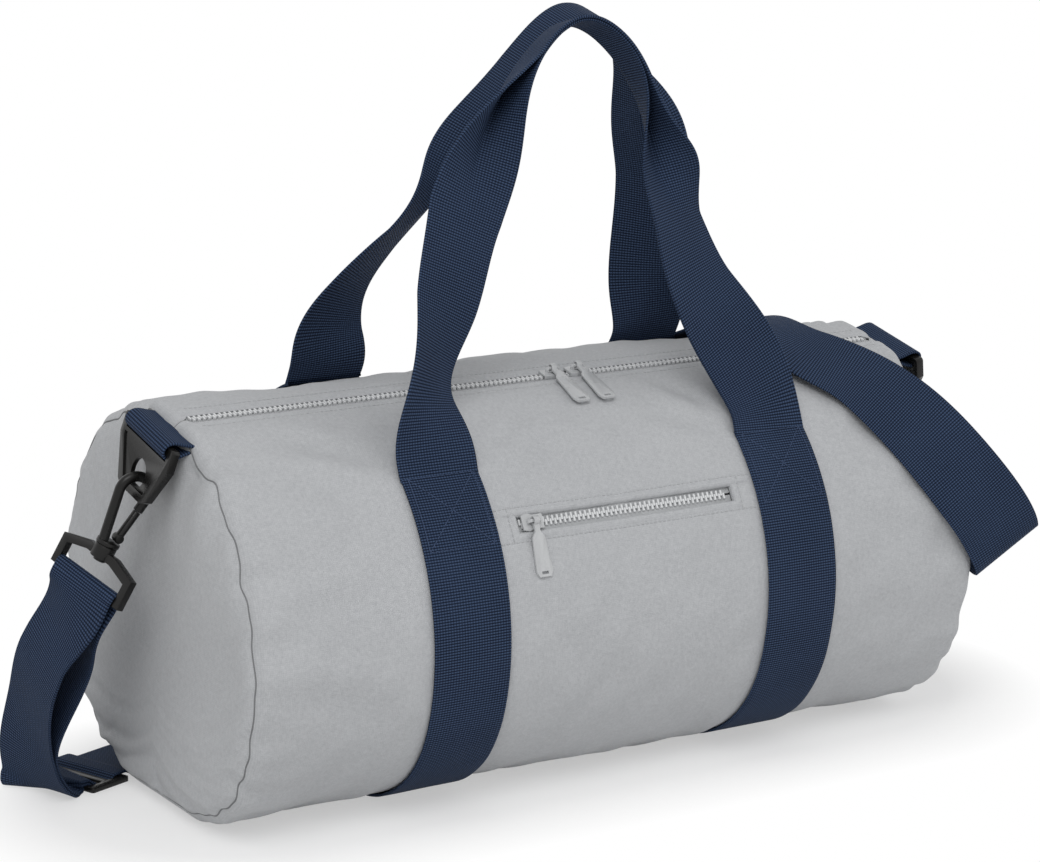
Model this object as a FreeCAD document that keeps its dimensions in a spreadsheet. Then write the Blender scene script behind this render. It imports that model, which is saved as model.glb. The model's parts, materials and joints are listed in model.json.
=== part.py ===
import FreeCAD, Part
import math
import os
import Sketcher

# Barrel bag: a cloth barrel with round ends, a zip along the top, a zipped front pocket, two webbing
# bands that become carry handles, and a detachable shoulder strap on swivel snap hooks.
# Millimetres. X runs along the barrel, -Y is the front, +Z is up, and the origin is on the floor below
# the middle.
# Angles round the barrel are measured from the top towards the front.

doc = FreeCAD.newDocument("barrel_bag")
sheet = doc.addObject("Spreadsheet::Sheet", "sizes")

driving_sizes = {
    "barrel_length": 500,
    "barrel_radius": 131.6,
    "barrel_height": 239,
    "base_corner_radius": 95,
    "cloth_thickness": 2.5,
    "seam_inset": 8.4,
    "binding_width": 10,
    "binding_thickness": 2,
    "seat_gap": 0.2,
    "running_gap": 0.4,
    "webbing_width": 50,
    "webbing_thickness": 1.6,
    "band_spacing": 231,
    "zip_angle": 13,
    "stitch_angle": 31,
    "main_zip_length": 482,
    "zip_slot_width": 15,
    "tape_width": 16,
    "tape_thickness": 0.8,
    "tape_spacing": 1.2,
    "tooth_pitch": 3.2,
    "tooth_length": 1.3,
    "tooth_width": 3.6,
    "tooth_height": 1.7,
    "tooth_reach": 0.8,
    "slider_length": 14,
    "slider_width": 11,
    "slider_tail_width": 8.6,
    "slider_plate": 1.4,
    "slider_flange": 1,
    "bail_length": 9,
    "bail_width": 2,
    "bail_rise": 3.6,
    "bail_wire": 1.6,
    "pull_length": 38,
    "pull_width": 11,
    "pull_thickness": 1.8,
    "pull_rim": 1.6,
    "pull_knuckle": 3.4,
    "left_slider_place": 1,
    "right_slider_place": 19,
    "main_pull_lie": 8.6,
    "pocket_angle": 61.5,
    "pocket_zip_length": 150,
    "pocket_middle": -1,
    "pocket_slot_width": 13,
    "pocket_slider_inset": 10,
    "pocket_pull_length": 33,
    "pocket_pull_lie": 8.2,
    "pocket_depth": 16,
    "pocket_reach": 40,
    "pocket_margin": 9,
    "lining_thickness": 1.2,
    "root_gap": 0.7,
    "root_thickness": 0.8,
    "grip_width": 25,
    "grip_thickness": 3.6,
    "front_handle_height": 246,
    "front_handle_lean": -12.8,
    "rear_handle_height": 226,
    "rear_handle_lean": 14,
    "tab_reach": 12,
    "ring_bar": 4.6,
    "ring_rim": 5,
    "ring_web": 2.6,
    "ring_height": 37,
    "ring_tip_width": 26,
    "ring_hole": 17,
    "ring_tilt": 14,
    "hook_wire": 6,
    "hook_gap": 13,
    "hook_play": 2.3,
    "hook_length": 34,
    "hook_nose": 10,
    "hook_foot_radius": 7,
    "hook_foot_height": 2.5,
    "stem_radius": 2.5,
    "collar_radius": 6.5,
    "collar_height": 8,
    "base_rim": 5,
    "base_height": 23,
    "adjuster_x": -22,
    "adjuster_y": 74,
    "adjuster_turn": 20.5,
    "adjuster_length": 30,
    "adjuster_rim": 5,
    "adjuster_thickness": 3,
}
for row, (alias, value) in enumerate(driving_sizes.items(), start=1):
    sheet.set(f"A{row}", alias)
    sheet.set(f"B{row}", str(value))
    sheet.setAlias(f"B{row}", alias)
doc.recompute()


def worked_out(expression):
    return float(sheet.evalExpression(expression))


def size(alias):
    return worked_out("sizes." + alias)


# Expressions that several pieces share
base_lift = "(sizes.webbing_thickness + sizes.seat_gap)"
axis_height = f"({base_lift} + sizes.barrel_height - sizes.barrel_radius)"
inner_radius = "(sizes.barrel_radius - sizes.cloth_thickness)"
tape_top = f"({inner_radius} - sizes.seat_gap)"
tooth_base = f"({tape_top} + sizes.seat_gap / 4)"
tooth_top = f"({tooth_base} + sizes.tooth_height)"
along_x = FreeCAD.Rotation(FreeCAD.Vector(0, 0, 1), FreeCAD.Vector(0, -1, 0), FreeCAD.Vector(1, 0, 0), "ZXY")
x_axis = FreeCAD.Vector(1, 0, 0)


def round_barrel(angle, along=0, radius=0):
    """Placement on the barrel: local X along it, local Z outward at the given angle."""
    turn = FreeCAD.Rotation(x_axis, angle)
    centre = FreeCAD.Vector(along, 0, worked_out(axis_height))
    return FreeCAD.Placement(centre + turn.multVec(FreeCAD.Vector(0, 0, radius)), turn)


def new_body(label):
    body = doc.addObject("PartDesign::Body", label)
    body.Label = label
    return body


def new_sketch(body, role, offset="0"):
    sketch = body.newObject("Sketcher::SketchObject", body.Label + "_outline")
    plane = next(feature for feature in body.Origin.OriginFeatures if feature.Role == role)
    sketch.AttachmentSupport = (plane, [""])
    sketch.MapMode = "FlatFace"
    sketch.setExpression(".AttachmentOffset.Base.z", offset)
    return sketch


def bind(sketch, kind, places, expression):
    number = sketch.addConstraint(Sketcher.Constraint(kind, *places, worked_out(expression)))
    sketch.setExpression(f"Constraints[{number}]", expression)


def draw_section(sketch, inset):
    """Closed cross-section of the barrel, moved inward by the inset."""
    radius = worked_out(f"sizes.barrel_radius - ({inset})")
    height = worked_out(axis_height)
    base = worked_out(f"{base_lift} + ({inset})")
    corner = worked_out(f"sizes.base_corner_radius - ({inset})")
    drop = height - base - corner
    upright = drop >= radius - corner
    spread = radius - corner if upright else math.sqrt((radius - corner) ** 2 - drop ** 2)
    lean = 0 if upright else math.atan2(-drop, spread)
    normal = FreeCAD.Vector(0, 0, 1)

    def arc(across, up, bend, start, end):
        circle = Part.Circle(FreeCAD.Vector(across, up, 0), normal, bend)
        return sketch.addGeometry(Part.ArcOfCircle(circle, start, end))

    def line(start, end):
        return sketch.addGeometry(Part.LineSegment(FreeCAD.Vector(*start, 0), FreeCAD.Vector(*end, 0)))

    top = arc(0, height, radius, lean, math.pi - lean)
    left = arc(-spread, base + corner, corner, math.pi - lean, 1.5 * math.pi)
    floor = line((-spread, base), (spread, base))
    right = arc(spread, base + corner, corner, -0.5 * math.pi, lean)
    around = [top, left, floor, right]
    if upright:
        left_side = line((-radius, height), (-radius, base + corner))
        right_side = line((radius, base + corner), (radius, height))
        around = [top, left_side, left, floor, right, right_side]
    for piece, following in zip(around, around[1:] + around[:1]):
        sketch.addConstraint(Sketcher.Constraint("Tangent", piece, 2, following, 1))
    sketch.addConstraint(Sketcher.Constraint("PointOnObject", top, 3, -2))
    sketch.addConstraint(Sketcher.Constraint("Horizontal", floor))
    bind(sketch, "DistanceY", (-1, 1, top, 3), axis_height)
    bind(sketch, "DistanceY", (-1, 1, floor, 1), f"{base_lift} + ({inset})")
    bind(sketch, "Radius", (top,), f"sizes.barrel_radius - ({inset})")
    bind(sketch, "Radius", (left,), f"sizes.base_corner_radius - ({inset})")
    bind(sketch, "Radius", (right,), f"sizes.base_corner_radius - ({inset})")


def draw_polygon(sketch, points):
    """Closed outline through points given as pairs of expressions."""
    corners = [FreeCAD.Vector(worked_out(across), worked_out(up), 0) for across, up in points]
    lines = []
    for start, end in zip(corners, corners[1:] + corners[:1]):
        lines.append(sketch.addGeometry(Part.LineSegment(start, end)))
    for line, following in zip(lines, lines[1:] + lines[:1]):
        sketch.addConstraint(Sketcher.Constraint("Coincident", line, 2, following, 1))
    for line, (across, up) in zip(lines, points):
        bind(sketch, "DistanceX", (-1, 1, line, 1), across)
        bind(sketch, "DistanceY", (-1, 1, line, 1), up)


def draw_circle(sketch, across, up, radius):
    centre = FreeCAD.Vector(worked_out(across), worked_out(up), 0)
    circle = sketch.addGeometry(Part.Circle(centre, FreeCAD.Vector(0, 0, 1), worked_out(radius)))
    bind(sketch, "DistanceX", (-1, 1, circle, 3), across)
    bind(sketch, "DistanceY", (-1, 1, circle, 3), up)
    bind(sketch, "Radius", (circle,), radius)


def raise_feature(body, kind, sketch, length, symmetric=False, reverse=False):
    feature = body.newObject("PartDesign::" + kind, f"{body.Label}_{kind.lower()}")
    feature.Profile = sketch
    feature.setExpression("Length", length)
    feature.Reversed = reverse
    if symmetric:
        feature.SideType = "Symmetric"
    doc.recompute()
    return feature


def pad(body, sketch, length, symmetric=False, reverse=False):
    return raise_feature(body, "Pad", sketch, length, symmetric, reverse)


def pocket(body, sketch, length, symmetric=False, reverse=False):
    before = body.Shape.Volume
    feature = raise_feature(body, "Pocket", sketch, length, symmetric, reverse)
    assert body.Shape.Volume < before, f"{body.Label}: the pocket cuts nothing"
    return feature


def ease_edges(body, kind, reach, chosen):
    """Fillet or chamfer on the chosen edges."""
    base = body.Tip
    names = [f"Edge{number}" for number, edge in enumerate(base.Shape.Edges, start=1) if chosen(edge)]
    feature = body.newObject("PartDesign::" + kind, f"{body.Label}_{kind.lower()}")
    feature.Base = (base, names)
    feature.setExpression("Radius" if kind == "Fillet" else "Size", reach)
    doc.recompute()
    return feature


def boolean(kind, label, base, tool):
    result = doc.addObject("Part::" + kind, label)
    result.Label = label
    result.Base = base
    result.Tool = tool
    doc.recompute()
    return result


def compound(label, links):
    result = doc.addObject("Part::Compound", label)
    result.Label = label
    result.Links = links
    doc.recompute()
    return result


def sector(label, radius, start, sweep, from_x, length):
    """Solid wedge of a cylinder about the barrel's axis."""
    wedge = doc.addObject("Part::Cylinder", label)
    wedge.setExpression("Radius", radius)
    wedge.setExpression("Height", length)
    wedge.setExpression("Angle", sweep)
    turn = FreeCAD.Rotation(x_axis, worked_out(start))
    centre = FreeCAD.Vector(worked_out(from_x), 0, worked_out(axis_height))
    wedge.Placement = FreeCAD.Placement(centre, turn.multiply(along_x))
    return wedge


def curved_strip(label, outer, inner, start, sweep, from_x, length):
    outside = sector(label + "_outside", outer, start, sweep, from_x, length)
    inside = sector(label + "_inside", inner, start, sweep, from_x, length)
    return boolean("Cut", label, outside, inside)


def arc_angle(width, radius):
    return f"(({width}) / ({radius}) * 180 / pi)"


# Cloth barrel: a hollow shell, open at both ends and along the two zip slots, its shoulders rounded
# by a main bevel and a smaller one on each side of it
main_bevel = 0.7


def barrel_solid(label, inset, shoulder):
    body = new_body(label)
    sketch = new_sketch(body, "YZ_Plane")
    draw_section(sketch, inset)
    length = f"sizes.barrel_length - 2 * ({inset})"
    pad(body, sketch, length, symmetric=True)
    end = worked_out(length) / 2
    slope = worked_out(shoulder) * main_bevel
    ease_edges(body, "Chamfer", f"({shoulder}) * {main_bevel}", lambda edge: lies_across(edge, end))
    on_bevel = lambda edge: lies_across(edge, end) or lies_across(edge, end - slope)
    ease_edges(body, "Chamfer", f"({shoulder}) * (1 - {main_bevel})", on_bevel)
    return body


def sag_base(body):
    """Lets the base down to the floor between the bands."""
    along = "(sizes.band_spacing / 2 - sizes.webbing_width)"
    across = "(sizes.base_corner_radius / 4)"
    sketch = new_sketch(body, "XY_Plane")
    corners = [(f"-{along}", f"-{across}"), (along, f"-{across}"), (along, across), (f"-{along}", across)]
    draw_polygon(sketch, corners)
    pad(body, sketch, f"{base_lift} + sizes.cloth_thickness / 2")
    on_floor = lambda edge: edge.BoundBox.ZMax < 0.01
    ease_edges(body, "Chamfer", f"{base_lift} - sizes.seat_gap", on_floor)


def lies_across(edge, place):
    """True for an edge that runs round the barrel at this distance from its middle."""
    return edge.BoundBox.XLength < 0.01 and abs(abs(edge.CenterOfMass.x) - place) < 0.01


def end_prism(label, inset, length):
    body = new_body(label)
    sketch = new_sketch(body, "YZ_Plane")
    draw_section(sketch, inset)
    pad(body, sketch, length, symmetric=True)
    return body


def zip_slot(label, angle, width, middle, length):
    sweep = arc_angle(width, "sizes.barrel_radius")
    start = f"({angle}) - {sweep} / 2"
    return sector(label, "sizes.barrel_radius * 1.1", start, sweep, f"({middle}) - ({length}) / 2", length)


def make_barrel():
    outside = barrel_solid("barrel_outside", "0", "sizes.seam_inset")
    sag_base(outside)
    inner_shoulder = "sizes.seam_inset - sizes.cloth_thickness"
    inside = barrel_solid("barrel_inside", "sizes.cloth_thickness", inner_shoulder)
    openings = end_prism("end_openings", "sizes.seam_inset - sizes.seat_gap", "sizes.barrel_length * 1.1")
    main_slot = zip_slot("main_slot", "sizes.zip_angle", "sizes.zip_slot_width", "0", "sizes.main_zip_length")
    pocket_slot = zip_slot(
        "pocket_slot",
        "sizes.pocket_angle",
        "sizes.pocket_slot_width",
        "sizes.pocket_middle",
        "sizes.pocket_zip_length",
    )
    shell = boolean("Cut", "barrel_shell", outside, inside)
    tube = boolean("Cut", "barrel_tube", shell, openings)
    slotted = boolean("Cut", "barrel_slotted", tube, main_slot)
    return boolean("Cut", "barrel_panel", slotted, pocket_slot)


def make_end_panel(label, side):
    body = new_body(label)
    sketch = new_sketch(body, "YZ_Plane")
    draw_section(sketch, "sizes.seam_inset")
    pad(body, sketch, "sizes.cloth_thickness", reverse=side > 0)
    body.setExpression(".Placement.Base.x", f"{side} * sizes.barrel_length / 2")
    return body


def make_binding(label, side):
    body = new_body(label)
    sketch = new_sketch(body, "YZ_Plane")
    draw_section(sketch, "sizes.seam_inset + 3 * sizes.seat_gap")
    draw_section(sketch, "sizes.seam_inset + 3 * sizes.seat_gap + sizes.binding_thickness")
    pad(body, sketch, "sizes.binding_width", reverse=side > 0)
    inside_end = "(sizes.barrel_length / 2 - sizes.cloth_thickness - sizes.seat_gap)"
    body.setExpression(".Placement.Base.x", f"{side} * {inside_end}")
    return body


# Webbing sewn round the barrel from the front stitch, under the base, to the rear stitch
def make_band(label, side):
    body = new_body(label + "_hoop")
    sketch = new_sketch(body, "YZ_Plane")
    draw_section(sketch, "-sizes.seat_gap")
    draw_section(sketch, "-sizes.seat_gap - sizes.webbing_thickness")
    pad(body, sketch, "sizes.webbing_width", symmetric=True)
    middle = f"{side} * sizes.band_spacing / 2"
    body.setExpression(".Placement.Base.x", middle)
    gap = sector(
        label + "_gap",
        "sizes.barrel_radius * 1.1",
        "sizes.zip_angle - sizes.stitch_angle",
        "2 * sizes.stitch_angle",
        f"{middle} - sizes.webbing_width",
        "2 * sizes.webbing_width",
    )
    return boolean("Cut", label, body, gap)


# Zips: two tapes, a row of teeth on each, sliders with a bail, and pulls that hinge on the bail
def make_tape(label, angle, side, middle, length):
    reach = arc_angle("sizes.tape_width", tape_top)
    gap = arc_angle("sizes.tape_spacing / 2", tape_top)
    start = f"({angle}) + {gap}" if side > 0 else f"({angle}) - {gap} - {reach}"
    below = f"{tape_top} - sizes.tape_thickness"
    return curved_strip(label, tape_top, below, start, reach, f"({middle}) - ({length}) / 2", length)


def make_teeth(label, angle, side, middle, length):
    pitch = size("tooth_pitch")
    count = int(worked_out(length) / pitch) - 1
    tooth = Part.makeBox(size("tooth_length"), size("tooth_width"), size("tooth_height"))
    edge = -size("tooth_width") + size("tooth_reach") if side > 0 else -size("tooth_reach")
    first = worked_out(middle) - pitch * count / 2 + side * pitch / 4
    row = []
    for number in range(count):
        step = first + number * pitch - size("tooth_length") / 2
        row.append(tooth.translated(FreeCAD.Vector(step, edge, 0)))
    teeth = doc.addObject("Part::Feature", label)
    teeth.Label = label
    teeth.Shape = Part.makeCompound(row)
    teeth.Placement = round_barrel(worked_out(angle), 0, worked_out(tooth_base))
    return teeth


def slider_plan():
    """Plan outline of a slider: square tail, wide shoulders, tapered head."""
    half = "(sizes.slider_length / 2)"
    wide = "(sizes.slider_width / 2)"
    tail = "(sizes.slider_tail_width / 2)"
    return [
        (f"-{half}", f"-{tail}"),
        ("0", f"-{tail}"),
        (f"{half} * 0.4", f"-{wide}"),
        (half, f"-{wide} * 0.8"),
        (half, f"{wide} * 0.8"),
        (f"{half} * 0.4", wide),
        ("0", tail),
        (f"-{half}", tail),
    ]


def slider_side(way):
    """Plan outline of the flange along one side of a slider."""
    edge = slider_plan()[4:]
    inner = [(along, f"({across} - sizes.slider_flange)") for along, across in reversed(edge)]
    return [(along, f"{way}({across})") for along, across in edge + inner]


def make_slider(label, angle, place, head):
    upper_under = f"({tooth_top} + sizes.running_gap)"
    upper = new_body(label + "_upper")
    plate = new_sketch(upper, "XY_Plane", upper_under)
    draw_polygon(plate, slider_plan())
    pad(upper, plate, "sizes.slider_plate")
    flanges = new_sketch(upper, "XY_Plane", upper_under)
    for way in ("", "-"):
        draw_polygon(flanges, slider_side(way))
    pad(upper, flanges, f"{tooth_top} - {tape_top}", reverse=True)
    plate_top = f"({upper_under} + sizes.slider_plate)"
    outer = f"{plate_top} + sizes.bail_rise"
    wire = "sizes.bail_wire"
    reach = "sizes.bail_length / 2"
    bail = new_sketch(upper, "XZ_Plane")
    draw_polygon(
        bail,
        [
            (f"-{reach}", f"{plate_top} - sizes.slider_plate / 2"),
            (f"{reach}", f"{plate_top} - sizes.slider_plate / 2"),
            (f"{reach}", f"{outer} - {wire}"),
            (f"{reach} - {wire}", outer),
            (f"-{reach} + {wire}", outer),
            (f"-{reach}", f"{outer} - {wire}"),
        ],
    )
    draw_polygon(
        bail,
        [
            (f"-{reach} + {wire}", plate_top),
            (f"{reach} - {wire}", plate_top),
            (f"{reach} - {wire}", f"{outer} - {wire}"),
            (f"-{reach} + {wire}", f"{outer} - {wire}"),
        ],
    )
    pad(upper, bail, "sizes.bail_width", symmetric=True)
    lower_top = f"({tape_top} - sizes.tape_thickness - sizes.running_gap)"
    lower = new_body(label + "_lower")
    plate = new_sketch(lower, "XY_Plane", lower_top)
    draw_polygon(plate, slider_plan())
    pad(lower, plate, "sizes.slider_plate", reverse=True)
    slider = compound(label, [upper, lower])
    turn = FreeCAD.Rotation(FreeCAD.Vector(0, 0, 1), 0 if head > 0 else 180)
    about = FreeCAD.Placement(FreeCAD.Vector(), turn)
    slider.Placement = round_barrel(worked_out(angle), worked_out(place)).multiply(about)
    return slider


pull_axis = f"({tooth_top} + sizes.running_gap + sizes.slider_plate + sizes.bail_rise - sizes.bail_wire / 2)"


def make_pull(label, angle, place, length, lie):
    """Flat grip on a knuckle round the bail, lying down over the cloth towards the front."""
    eye = "(sizes.bail_wire / 2 + sizes.bail_width / 4 + sizes.running_gap)"
    body = new_body(label)
    knuckle = new_sketch(body, "YZ_Plane")
    draw_circle(knuckle, "0", "0", f"{eye} + sizes.pull_thickness / 2")
    pad(body, knuckle, "sizes.pull_knuckle", symmetric=True)
    grip = new_sketch(body, "XY_Plane", "-sizes.pull_thickness / 2")
    neck = "sizes.pull_knuckle / 2"
    wide = "sizes.pull_width / 2"
    draw_polygon(
        grip,
        [
            (f"-{neck}", "0"),
            (f"-{neck}", f"-({length}) * 0.2"),
            (f"-{wide} * 0.75", f"-({length}) * 0.3"),
            (f"-{wide}", f"-({length}) * 0.9"),
            (f"-{wide} * 0.7", f"-({length})"),
            (f"{wide} * 0.7", f"-({length})"),
            (wide, f"-({length}) * 0.9"),
            (f"{wide} * 0.75", f"-({length}) * 0.3"),
            (neck, f"-({length}) * 0.2"),
            (neck, "0"),
        ],
    )
    pad(body, grip, "sizes.pull_thickness")
    tip = new_sketch(body, "XY_Plane", "sizes.pull_thickness / 2")
    draw_polygon(
        tip,
        [
            (f"-{wide} * 0.4", f"-({length}) + sizes.pull_rim"),
            (f"{wide} * 0.4", f"-({length}) + sizes.pull_rim"),
            (f"{wide} * 0.4", f"-({length}) + 2 * sizes.pull_rim"),
            (f"-{wide} * 0.4", f"-({length}) + 2 * sizes.pull_rim"),
        ],
    )
    pocket(body, tip, "sizes.pull_thickness")
    hole = new_sketch(body, "YZ_Plane")
    draw_circle(hole, "0", "0", eye)
    pocket(body, hole, "sizes.pull_knuckle * 2", symmetric=True)
    hang = FreeCAD.Placement(FreeCAD.Vector(), FreeCAD.Rotation(x_axis, worked_out(lie)))
    body.Placement = round_barrel(worked_out(angle), worked_out(place), worked_out(pull_axis)).multiply(hang)
    return body


def make_zip(prefix, angle, middle, length):
    pieces = []
    for name, side in (("front", 1), ("rear", -1)):
        pieces.append(make_tape(f"{prefix}_zip_tape_{name}", angle, side, middle, length))
        pieces.append(make_teeth(f"{prefix}_zip_teeth_{name}", angle, side, middle, length))
    return pieces


# Pocket bag: a shallow tray behind the front panel, which closes its open side
def make_pocket_lining():
    start = f"(sizes.pocket_angle - {arc_angle('sizes.tape_width + sizes.pocket_margin', inner_radius)})"
    sweep = arc_angle("2 * sizes.tape_width + sizes.pocket_margin + sizes.pocket_reach", inner_radius)
    wall = arc_angle("sizes.lining_thickness", inner_radius)
    floor = f"({inner_radius} - sizes.pocket_depth)"
    from_x = "(sizes.pocket_middle - sizes.pocket_zip_length / 2 - sizes.pocket_margin)"
    length = "(sizes.pocket_zip_length + 2 * sizes.pocket_margin)"
    rim = f"{inner_radius} - sizes.seat_gap"
    back = f"{floor} - sizes.lining_thickness"
    tray = curved_strip("pocket_tray", rim, back, start, sweep, from_x, length)
    hollow = curved_strip(
        "pocket_hollow",
        "sizes.barrel_radius",
        floor,
        f"{start} + {wall}",
        f"{sweep} - 2 * {wall}",
        f"{from_x} + sizes.lining_thickness",
        f"{length} - 2 * sizes.lining_thickness",
    )
    return boolean("Cut", "pocket_lining", tray, hollow)


# Carry handles: webbing that leaves the bands at the stitch lines, twists and is folded in half at the grip
def handle_section(angle, rise_lean):
    """Hinge line of a handle and the directions in which it rises and faces."""
    turn = FreeCAD.Rotation(x_axis, angle)
    radius = worked_out("sizes.barrel_radius + sizes.seat_gap + sizes.webbing_thickness")
    hinge = FreeCAD.Vector(0, 0, worked_out(axis_height)) + turn.multVec(FreeCAD.Vector(0, 0, radius))
    rise = FreeCAD.Rotation(x_axis, rise_lean).multVec(FreeCAD.Vector(0, 0, 1))
    return hinge, rise


def ribbon(label, stations):
    """Flat strip whose four long edges pass through rectangles.

    Each station is a centre, a width direction, a width and a thickness.
    """
    rows = []
    for number, (centre, across, width, thick) in enumerate(stations):
        before = stations[max(number - 1, 0)][0]
        after = stations[min(number + 1, len(stations) - 1)][0]
        run = (after - before).normalize()
        side = (across - run * across.dot(run)).normalize() * (width / 2)
        face = run.cross(side).normalize() * (thick / 2)
        rows.append([centre + side + face, centre - side + face, centre - side - face, centre + side - face])
    lengths = [0.0]
    for (start, *_), (end, *_) in zip(stations, stations[1:]):
        lengths.append(lengths[-1] + (end - start).Length)
    edges = []
    for corner in range(4):
        curve = Part.BSplineCurve()
        curve.interpolate(Points=[row[corner] for row in rows], Parameters=lengths)
        edges.append(curve.toShape())
    forward = 1
    beside_each = edges[1:] + edges[:1]
    faces = [Part.makeRuledSurface(edge, beside, forward) for edge, beside in zip(edges, beside_each)]
    faces += [Part.Face(Part.makePolygon(row + row[:1])) for row in (rows[0], rows[-1])]
    shell = Part.makeShell(faces)
    shell.sewShape()
    solid = Part.makeSolid(shell)
    if solid.Volume < 0:
        solid.reverse()
    strip = doc.addObject("Part::Feature", label)
    strip.Label = label
    strip.Shape = solid
    return strip


# Each row: place along the bar as a share of half the band spacing, height as a share of the handle's
# height, twist of the webbing in degrees, and how far it is folded in half
front_handle_rows = [
    (-1.00, 0.00, 0, 0),
    (-1.00, 0.04, 0, 0),
    (-1.02, 0.16, -10, 0),
    (-0.87, 0.37, 0, 0),
    (-0.70, 0.58, 12, 0),
    (-0.50, 0.77, 50, 0.4),
    (-0.19, 0.93, 90, 1),
    (0.12, 1.00, 90, 1),
    (0.38, 0.91, 90, 1),
    (0.52, 0.74, 130, 0.4),
    (0.54, 0.57, 155, 0),
    (0.66, 0.35, 161, 0),
    (0.90, 0.16, 170, 0),
    (1.00, 0.04, 180, 0),
    (1.00, 0.00, 180, 0),
]
rear_handle_rows = [
    (-1.00, 0.00, 0, 0),
    (-1.00, 0.04, 0, 0),
    (-1.01, 0.11, -8, 0),
    (-0.94, 0.24, -26, 0),
    (-0.73, 0.38, -34, 0),
    (-0.47, 0.53, -55, 0.3),
    (-0.35, 0.74, -85, 0.9),
    (-0.13, 0.88, -90, 1),
    (0.24, 1.00, -90, 1),
    (0.59, 0.89, -90, 1),
    (0.80, 0.73, -112, 0.5),
    (0.81, 0.49, -124, 0),
    (0.92, 0.17, -155, 0),
    (1.00, 0.04, -180, 0),
    (1.00, 0.00, -180, 0),
]


def make_handle(label, rows, angle, lean, height):
    hinge, rise = handle_section(angle, lean)
    facing = rise.cross(x_axis)
    half = size("band_spacing") / 2
    stations = []
    for along, up, twist, fold in rows:
        lift = size("root_gap") + up * (height - size("root_gap"))
        centre = hinge + x_axis * (along * half) + rise * lift
        turn = math.radians(twist)
        across = x_axis * math.cos(turn) - facing * math.sin(turn)
        width = size("webbing_width") + fold * (size("grip_width") - size("webbing_width"))
        thick = size("webbing_thickness") + fold * (size("grip_thickness") - size("webbing_thickness"))
        if up == 0:
            thick = size("root_thickness")
        stations.append((centre, across, width, thick))
    return ribbon(label, stations)


# End fittings: a webbing tab in each end seam, a moulded loop on it, and a swivel snap hook
def end_frame(side):
    """Local X points out of the bag's end, local Z outward from the barrel's axis."""
    radius = worked_out("sizes.barrel_radius - sizes.seam_inset")
    place = round_barrel(size("zip_angle"), side * size("barrel_length") / 2, radius)
    turn = FreeCAD.Rotation(FreeCAD.Vector(0, 0, 1), 0 if side > 0 else 180)
    return place.multiply(FreeCAD.Placement(FreeCAD.Vector(), turn))


tab_eye = "(sqrt((sizes.ring_bar / 2) ^ 2 + (sizes.ring_rim / 2) ^ 2) + sizes.running_gap)"
tab_outer = f"({tab_eye} + sizes.webbing_thickness)"


def make_tab(label, side):
    body = new_body(label)
    loop = new_sketch(body, "XZ_Plane")
    draw_circle(loop, "sizes.tab_reach", "0", tab_outer)
    pad(body, loop, "sizes.webbing_width", symmetric=True)
    root = new_sketch(body, "XZ_Plane")
    draw_polygon(
        root,
        [
            ("sizes.seat_gap", "-sizes.webbing_thickness"),
            ("sizes.tab_reach", f"-{tab_outer} * 0.97"),
            ("sizes.tab_reach", f"{tab_outer} * 0.97"),
            ("sizes.seat_gap", "sizes.webbing_thickness"),
        ],
    )
    pad(body, root, "sizes.webbing_width", symmetric=True)
    hole = new_sketch(body, "XZ_Plane")
    draw_circle(hole, "sizes.tab_reach", "0", tab_eye)
    pocket(body, hole, "sizes.webbing_width * 2", symmetric=True)
    body.Placement = end_frame(side)
    return body


ring_shoulder = f"({tab_outer} + sizes.running_gap)"
ring_inner_half = "(sizes.webbing_width / 2 + 2 * sizes.running_gap)"
ring_outer_half = f"({ring_inner_half} + sizes.ring_rim)"
ring_hole_place = "(-sizes.ring_height + sizes.ring_rim + sizes.ring_hole / 2)"


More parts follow.
